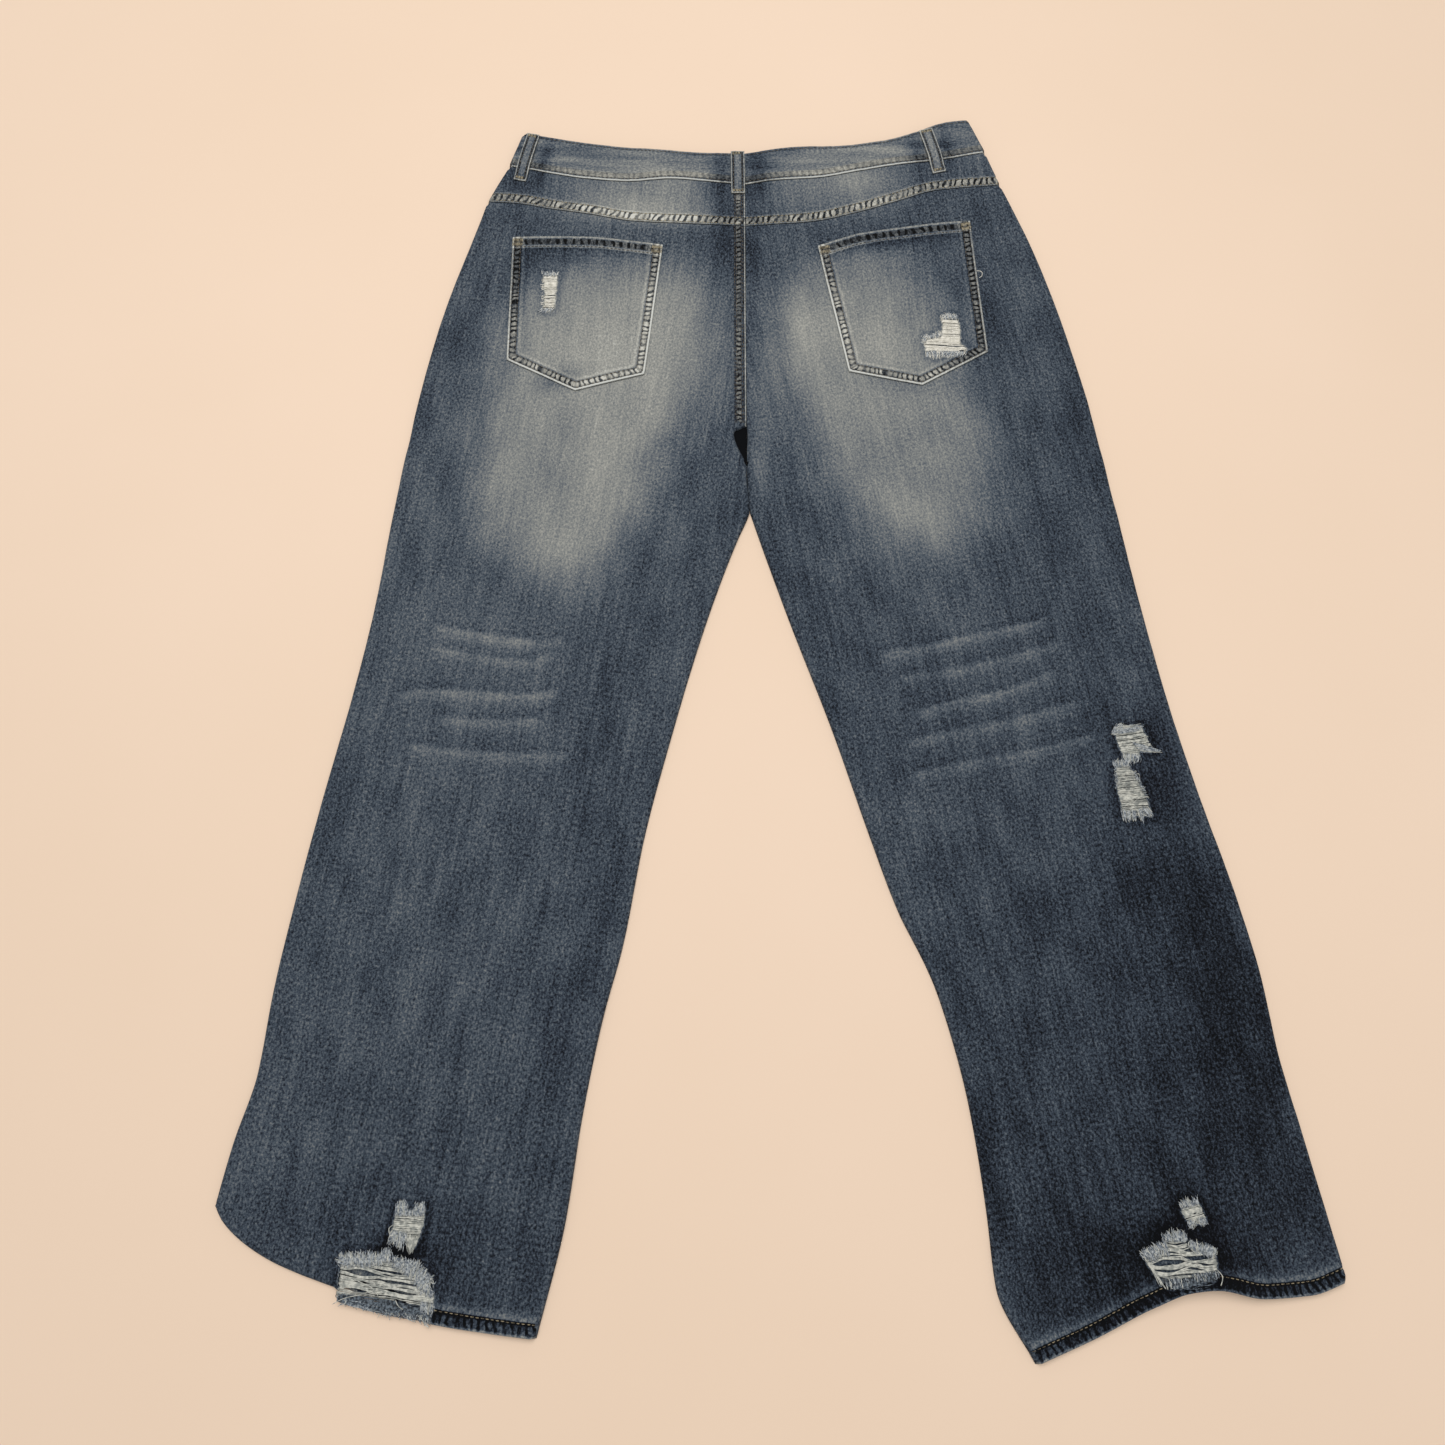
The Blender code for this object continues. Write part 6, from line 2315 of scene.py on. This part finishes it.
@dataclass
class Front:
    """The front layer under the back: legs, half waistbands, fly, loops and button.

    Attributes:
        flats: width, length and area of each piece's cut, in metres.
    """

    flats: dict[str, tuple[float, float, float]]

    @staticmethod
    def fly_line(grow: float, top: Array) -> Array:
        """The fly's free edge, straight down and then curved like a J to the centre.

        Args:
            grow: how far outside the fly the line runs.
            top: the front's waist seam, which it starts on.

        Returns:
            The line from the waist down.
        """
        radius = FLY_WIDTH + grow
        turn = np.radians(np.linspace(0, 89.5, 19))
        arc = np.column_stack([CENTRE_X - radius * np.cos(turn),
                               FLY_FOOT_Y + FLY_WIDTH - radius * np.sin(turn)])
        order = np.argsort(top[:, 0])
        head = (arc[0, 0], np.interp(arc[0, 0], top[order, 0], top[order, 1]))
        return np.concatenate([[head], arc])

    @staticmethod
    def waist_seam(side: Side, sink: float = SEAM_GAP) -> Array:
        """The seam between a front leg and its half of the waistband, from the side to the centre.

        Args:
            side: which leg.
            sink: how far below the seam the line runs.

        Returns:
            The line.
        """
        waist, yoke = smooth_line(WAIST_SEAM[side]), smooth_line(YOKE_SEAM[side])
        share = np.linspace(0, 1, len(waist)) ** 1.5
        return waist + (yoke - waist) * (0.56 * share)[:, None] - np.array([0, sink])

    def leg_edges(self, side: Side) -> list[Edge]:
        """Draws a front leg, inside the turned edges of the back.

        Args:
            side: which leg.

        Returns:
            Its edges.
        """
        outer, inner = leg_lines(side)
        clear = np.array([side.out * (CLOTH + LAY_GAP + 0.3), 0])
        outer, inseam = outer - clear, cut_at(inner, FRONT_SPLIT_Y)[1] + clear
        centre = CENTRE_X + side.out * 0.02
        inseam[0] = (centre, FRONT_SPLIT_Y - 1)
        hem = smooth_line(HEM[side])[::-1] + np.array([0, FRONT_HEM_SHORTER if side is Side.LEFT else 0.0])
        hem[0], hem[-1] = inseam[-1], outer[-1]
        top = self.waist_seam(side)
        top[-1, 0] = centre
        edges = [edge(top, PLAIN, FRONT_PITCH)]
        if side is Side.LEFT:
            cut = self.fly_line(SEAM_GAP, top)
            head = np.concatenate([top[top[:, 0] < cut[0, 0] - 1], cut[:1]])
            edges = [edge(head, PLAIN, FRONT_PITCH), edge(cut, PLAIN, PATCH_PITCH)]
        split = [(centre, edges[-1].line[-1, 1]), (centre, FRONT_SPLIT_Y)]
        outseam = np.concatenate([top[:1], outer])[::-1]
        rest = ((split, PLAIN), (inseam, PLAIN), (hem, FLAT_HEM), (outseam, PLAIN))
        return edges + [edge(line, style, FRONT_PITCH) for line, style in rest]

    def fly_edges(self) -> list[Edge]:
        """Draws the fly, on the left half of the front.

        Returns:
            Its edges.
        """
        top = self.waist_seam(Side.LEFT)
        centre = CENTRE_X - SEAM_GAP / 2
        top[-1, 0] = centre
        free = self.fly_line(0.0, top)
        head = np.concatenate([free[:1], top[top[:, 0] > free[0, 0] + 1]])
        straight = edge([top[-1], (centre, free[-1, 1])], PLAIN, FRONT_BAND_PITCH)
        return [edge(head, PLAIN, FRONT_BAND_PITCH), straight, edge(free[::-1], PLAIN, PATCH_PITCH)]

    def band_edges(self, side: Side) -> list[Edge]:
        """Draws half the front band, from the side fold to the button tab.

        Args:
            side: which half.

        Returns:
            Its edges.
        """
        crest, waist = smooth_line(WAIST_TOP[side]), smooth_line(WAIST_SEAM[side])
        share = np.linspace(0, 1, len(crest)) ** 1.5
        top = (crest + (waist - crest) * (0.7 * share)[:, None])[3:]
        low = self.waist_seam(side, -SEAM_GAP / 2)[3:]
        top[-1, 0] = low[-1, 0] = CENTRE_X + side.out * SEAM_GAP / 2
        lines = (top, [top[-1], low[-1]], low[::-1], [low[0], top[0]])
        return [edge(line, PLAIN, FRONT_BAND_PITCH) for line in lines]

    def piece(
        self, node: str, edges: list[Edge], face: Height, material: Material, slot: str,
        held: str = "laid", **settings: float
    ) -> None:
        """Makes one piece of the front.

        Args:
            node: the CAD node that it stands for.
            edges: its outline.
            face: its upper face.
            material: its finish.
            slot: not used.
            held: not used.
            settings: more of the panel's fields.
        """
        panel = Panel("denim_" + node, joined(edges), face, wear=front_wear, **settings)
        width, length, area = self.flats[node]
        lay(panel, material, slot, node, flat=(width, length), held=held, area=area)

    def build(self, finishes: Finishes) -> None:
        """Makes every piece of the front and finishes the button.

        Args:
            finishes: the materials.
        """
        band = level(UNDER_LIFT + WAISTBAND)
        for side, grain in ((Side.LEFT, -9.0), (Side.RIGHT, 11.0)):
            self.piece("front_" + side.value, self.leg_edges(side), Lie.front_outside, finishes.leg,
                       "washed_denim", grain=grain, pitch=8.0)
            self.piece("waistband_front_" + side.value, self.band_edges(side), band, finishes.band,
                       "seamed_denim", "folded", thickness=WAISTBAND, grain=90.0)
        self.piece("fly", self.fly_edges(), Lie.front_outside, finishes.leg, "washed_denim")
        for name, loop in FRONT_LOOPS.items():
            edges = BeltLoop(name, loop, LOOP_FLAT).outline(LOOP_END, LOOP_END, 2.5)
            self.piece("belt_loop_front_" + name, edges, level(BUTTON_FACE), finishes.loop,
                       "seamed_denim", "folded", thickness=BUTTON_FACE, pitch=2.5)
        for material_slot in bpy.data.objects["button_waist"].material_slots:
            material_slot.material = finishes.brass


@dataclass(frozen=True)
class Studio:
    """Plain floor, soft light and the photograph's camera.

    Attributes:
        floor_size: side of the floor in metres.
        sky: colour of the sky.
        sky_strength: its strength.
        lamps: name, place in metres, size and power of each lamp.
    """

    floor_size: float = 9.0
    sky: str = "FAF6F0"
    sky_strength: float = 0.46
    lamps: tuple[tuple[str, tuple[float, float, float], float, float], ...] = (
        ("key", (-0.25, 0.85, 2.7), 2.0, 48.5),
        ("fill", (0.9, -1.5, 2.5), 2.4, 9.5),
    )

    def build(self) -> None:
        """Makes the floor, the lights and the camera."""
        self.floor()
        self.lights()
        self.camera()

    def floor(self) -> None:
        """A wide plain floor just under the garment."""
        half = self.floor_size / 2
        corners = [(-half, -half, 0), (half, -half, 0), (half, half, 0), (-half, half, 0)]
        data = bpy.data.meshes.new("floor")
        data.from_pydata(corners, [], [(0, 1, 2, 3)])
        data.materials.append(FloorFinish().make())
        Shop.place("floor", data)

    def lights(self) -> None:
        """A broad key light above the waist, a fill from the feet, and a pale sky."""
        world = bpy.data.worlds.new("sky")
        world.use_nodes = True
        background = world.node_tree.nodes["Background"].inputs
        background["Color"].default_value = linear(self.sky)
        background["Strength"].default_value = self.sky_strength
        bpy.context.scene.world = world
        for name, place, size, power in self.lamps:
            lamp = bpy.data.lights.new(name, "AREA")
            lamp.size = size
            lamp.energy = power
            lamp.color = (1.0, 0.98, 0.95)
            thing = Shop.place(name, lamp)
            thing.location = place
            thing.rotation_euler = (-Vector(place)).to_track_quat("-Z", "Y").to_euler()

    def camera(self) -> None:
        """The camera that took the photograph."""
        data = bpy.data.cameras.new("camera")
        data.lens = CAMERA_LENS
        data.sensor_width = 36.0
        data.clip_start = 0.01
        camera = Shop.place("camera", data)
        camera.location = Vector(CAMERA_AT) * MM + Shop.shift
        camera.rotation_euler = (math.radians(CAMERA_TILT), 0, 0)
        bpy.context.scene.camera = camera


def main() -> None:
    """Builds the garment piece by piece, then the studio."""
    logging.basicConfig(level=logging.INFO, format="%(message)s")
    Shop.settle()
    bpy.context.scene.view_settings.view_transform = "Standard"
    finishes = Finishes()
    legs = {
        Side.LEFT: BackLeg(Side.LEFT, -9, (-345, -165), (0.35, 1.04), 0.3),
        Side.RIGHT: BackLeg(Side.RIGHT, 11, (85, 300), (0.36, 1.07), 0.312),
    }
    Front({
        "front_left": (0.335, 1.065, 0.297), "front_right": (0.345, 1.1, 0.317), "fly": (0.04, 0.175, 0.0065),
        "waistband_front_left": (0.25, 0.045, 0.0108), "waistband_front_right": (0.255, 0.045, 0.0107),
        "belt_loop_front_left": (*LOOP_FLAT, 0.00068), "belt_loop_front_right": (*LOOP_FLAT, 0.00068),
    }).build(finishes)
    panels = {side: leg.panel() for side, leg in legs.items()}
    backs = [leg.build(finishes) for leg in legs.values()]
    grains = {Side.LEFT: -4, Side.RIGHT: 5}
    yokes = [Yoke(side, grains[side], (0.275, 0.07), 0.0129).build(finishes) for side in Side]
    band = BackWaistband((0.51, 0.045), 0.021).build(finishes)
    pockets = [BackPocket(side, (0.16, 0.18), 0.0235) for side in Side]
    patches = [pocket.build(finishes, panels[pocket.side]) for pocket in pockets]
    below = Surface(band, *yokes, *backs)
    loops = [BeltLoop("back_" + name, loop, (0.0145, 0.058)) for name, loop in BACK_LOOPS.items()]
    strips = [loop.build(finishes, below) for loop in loops]
    thread = Topstitching(finishes, Surface(band, *yokes, *backs, *patches))
    for pocket in pockets:
        thread.side(pocket)
    thread.centre()
    Topstitching(finishes, Surface(*strips)).belt_loops(loops)
    for rip in RIPS:
        panel = panels[Side.LEFT if "left" in rip.carrier else Side.RIGHT]
        lift = LAY_GAP + CLOTH if rip.carrier.startswith("pocket") else 0.0
        rip.build(panel.face(lift), finishes)
    Studio().build()


if __name__ == "__main__":
    main()
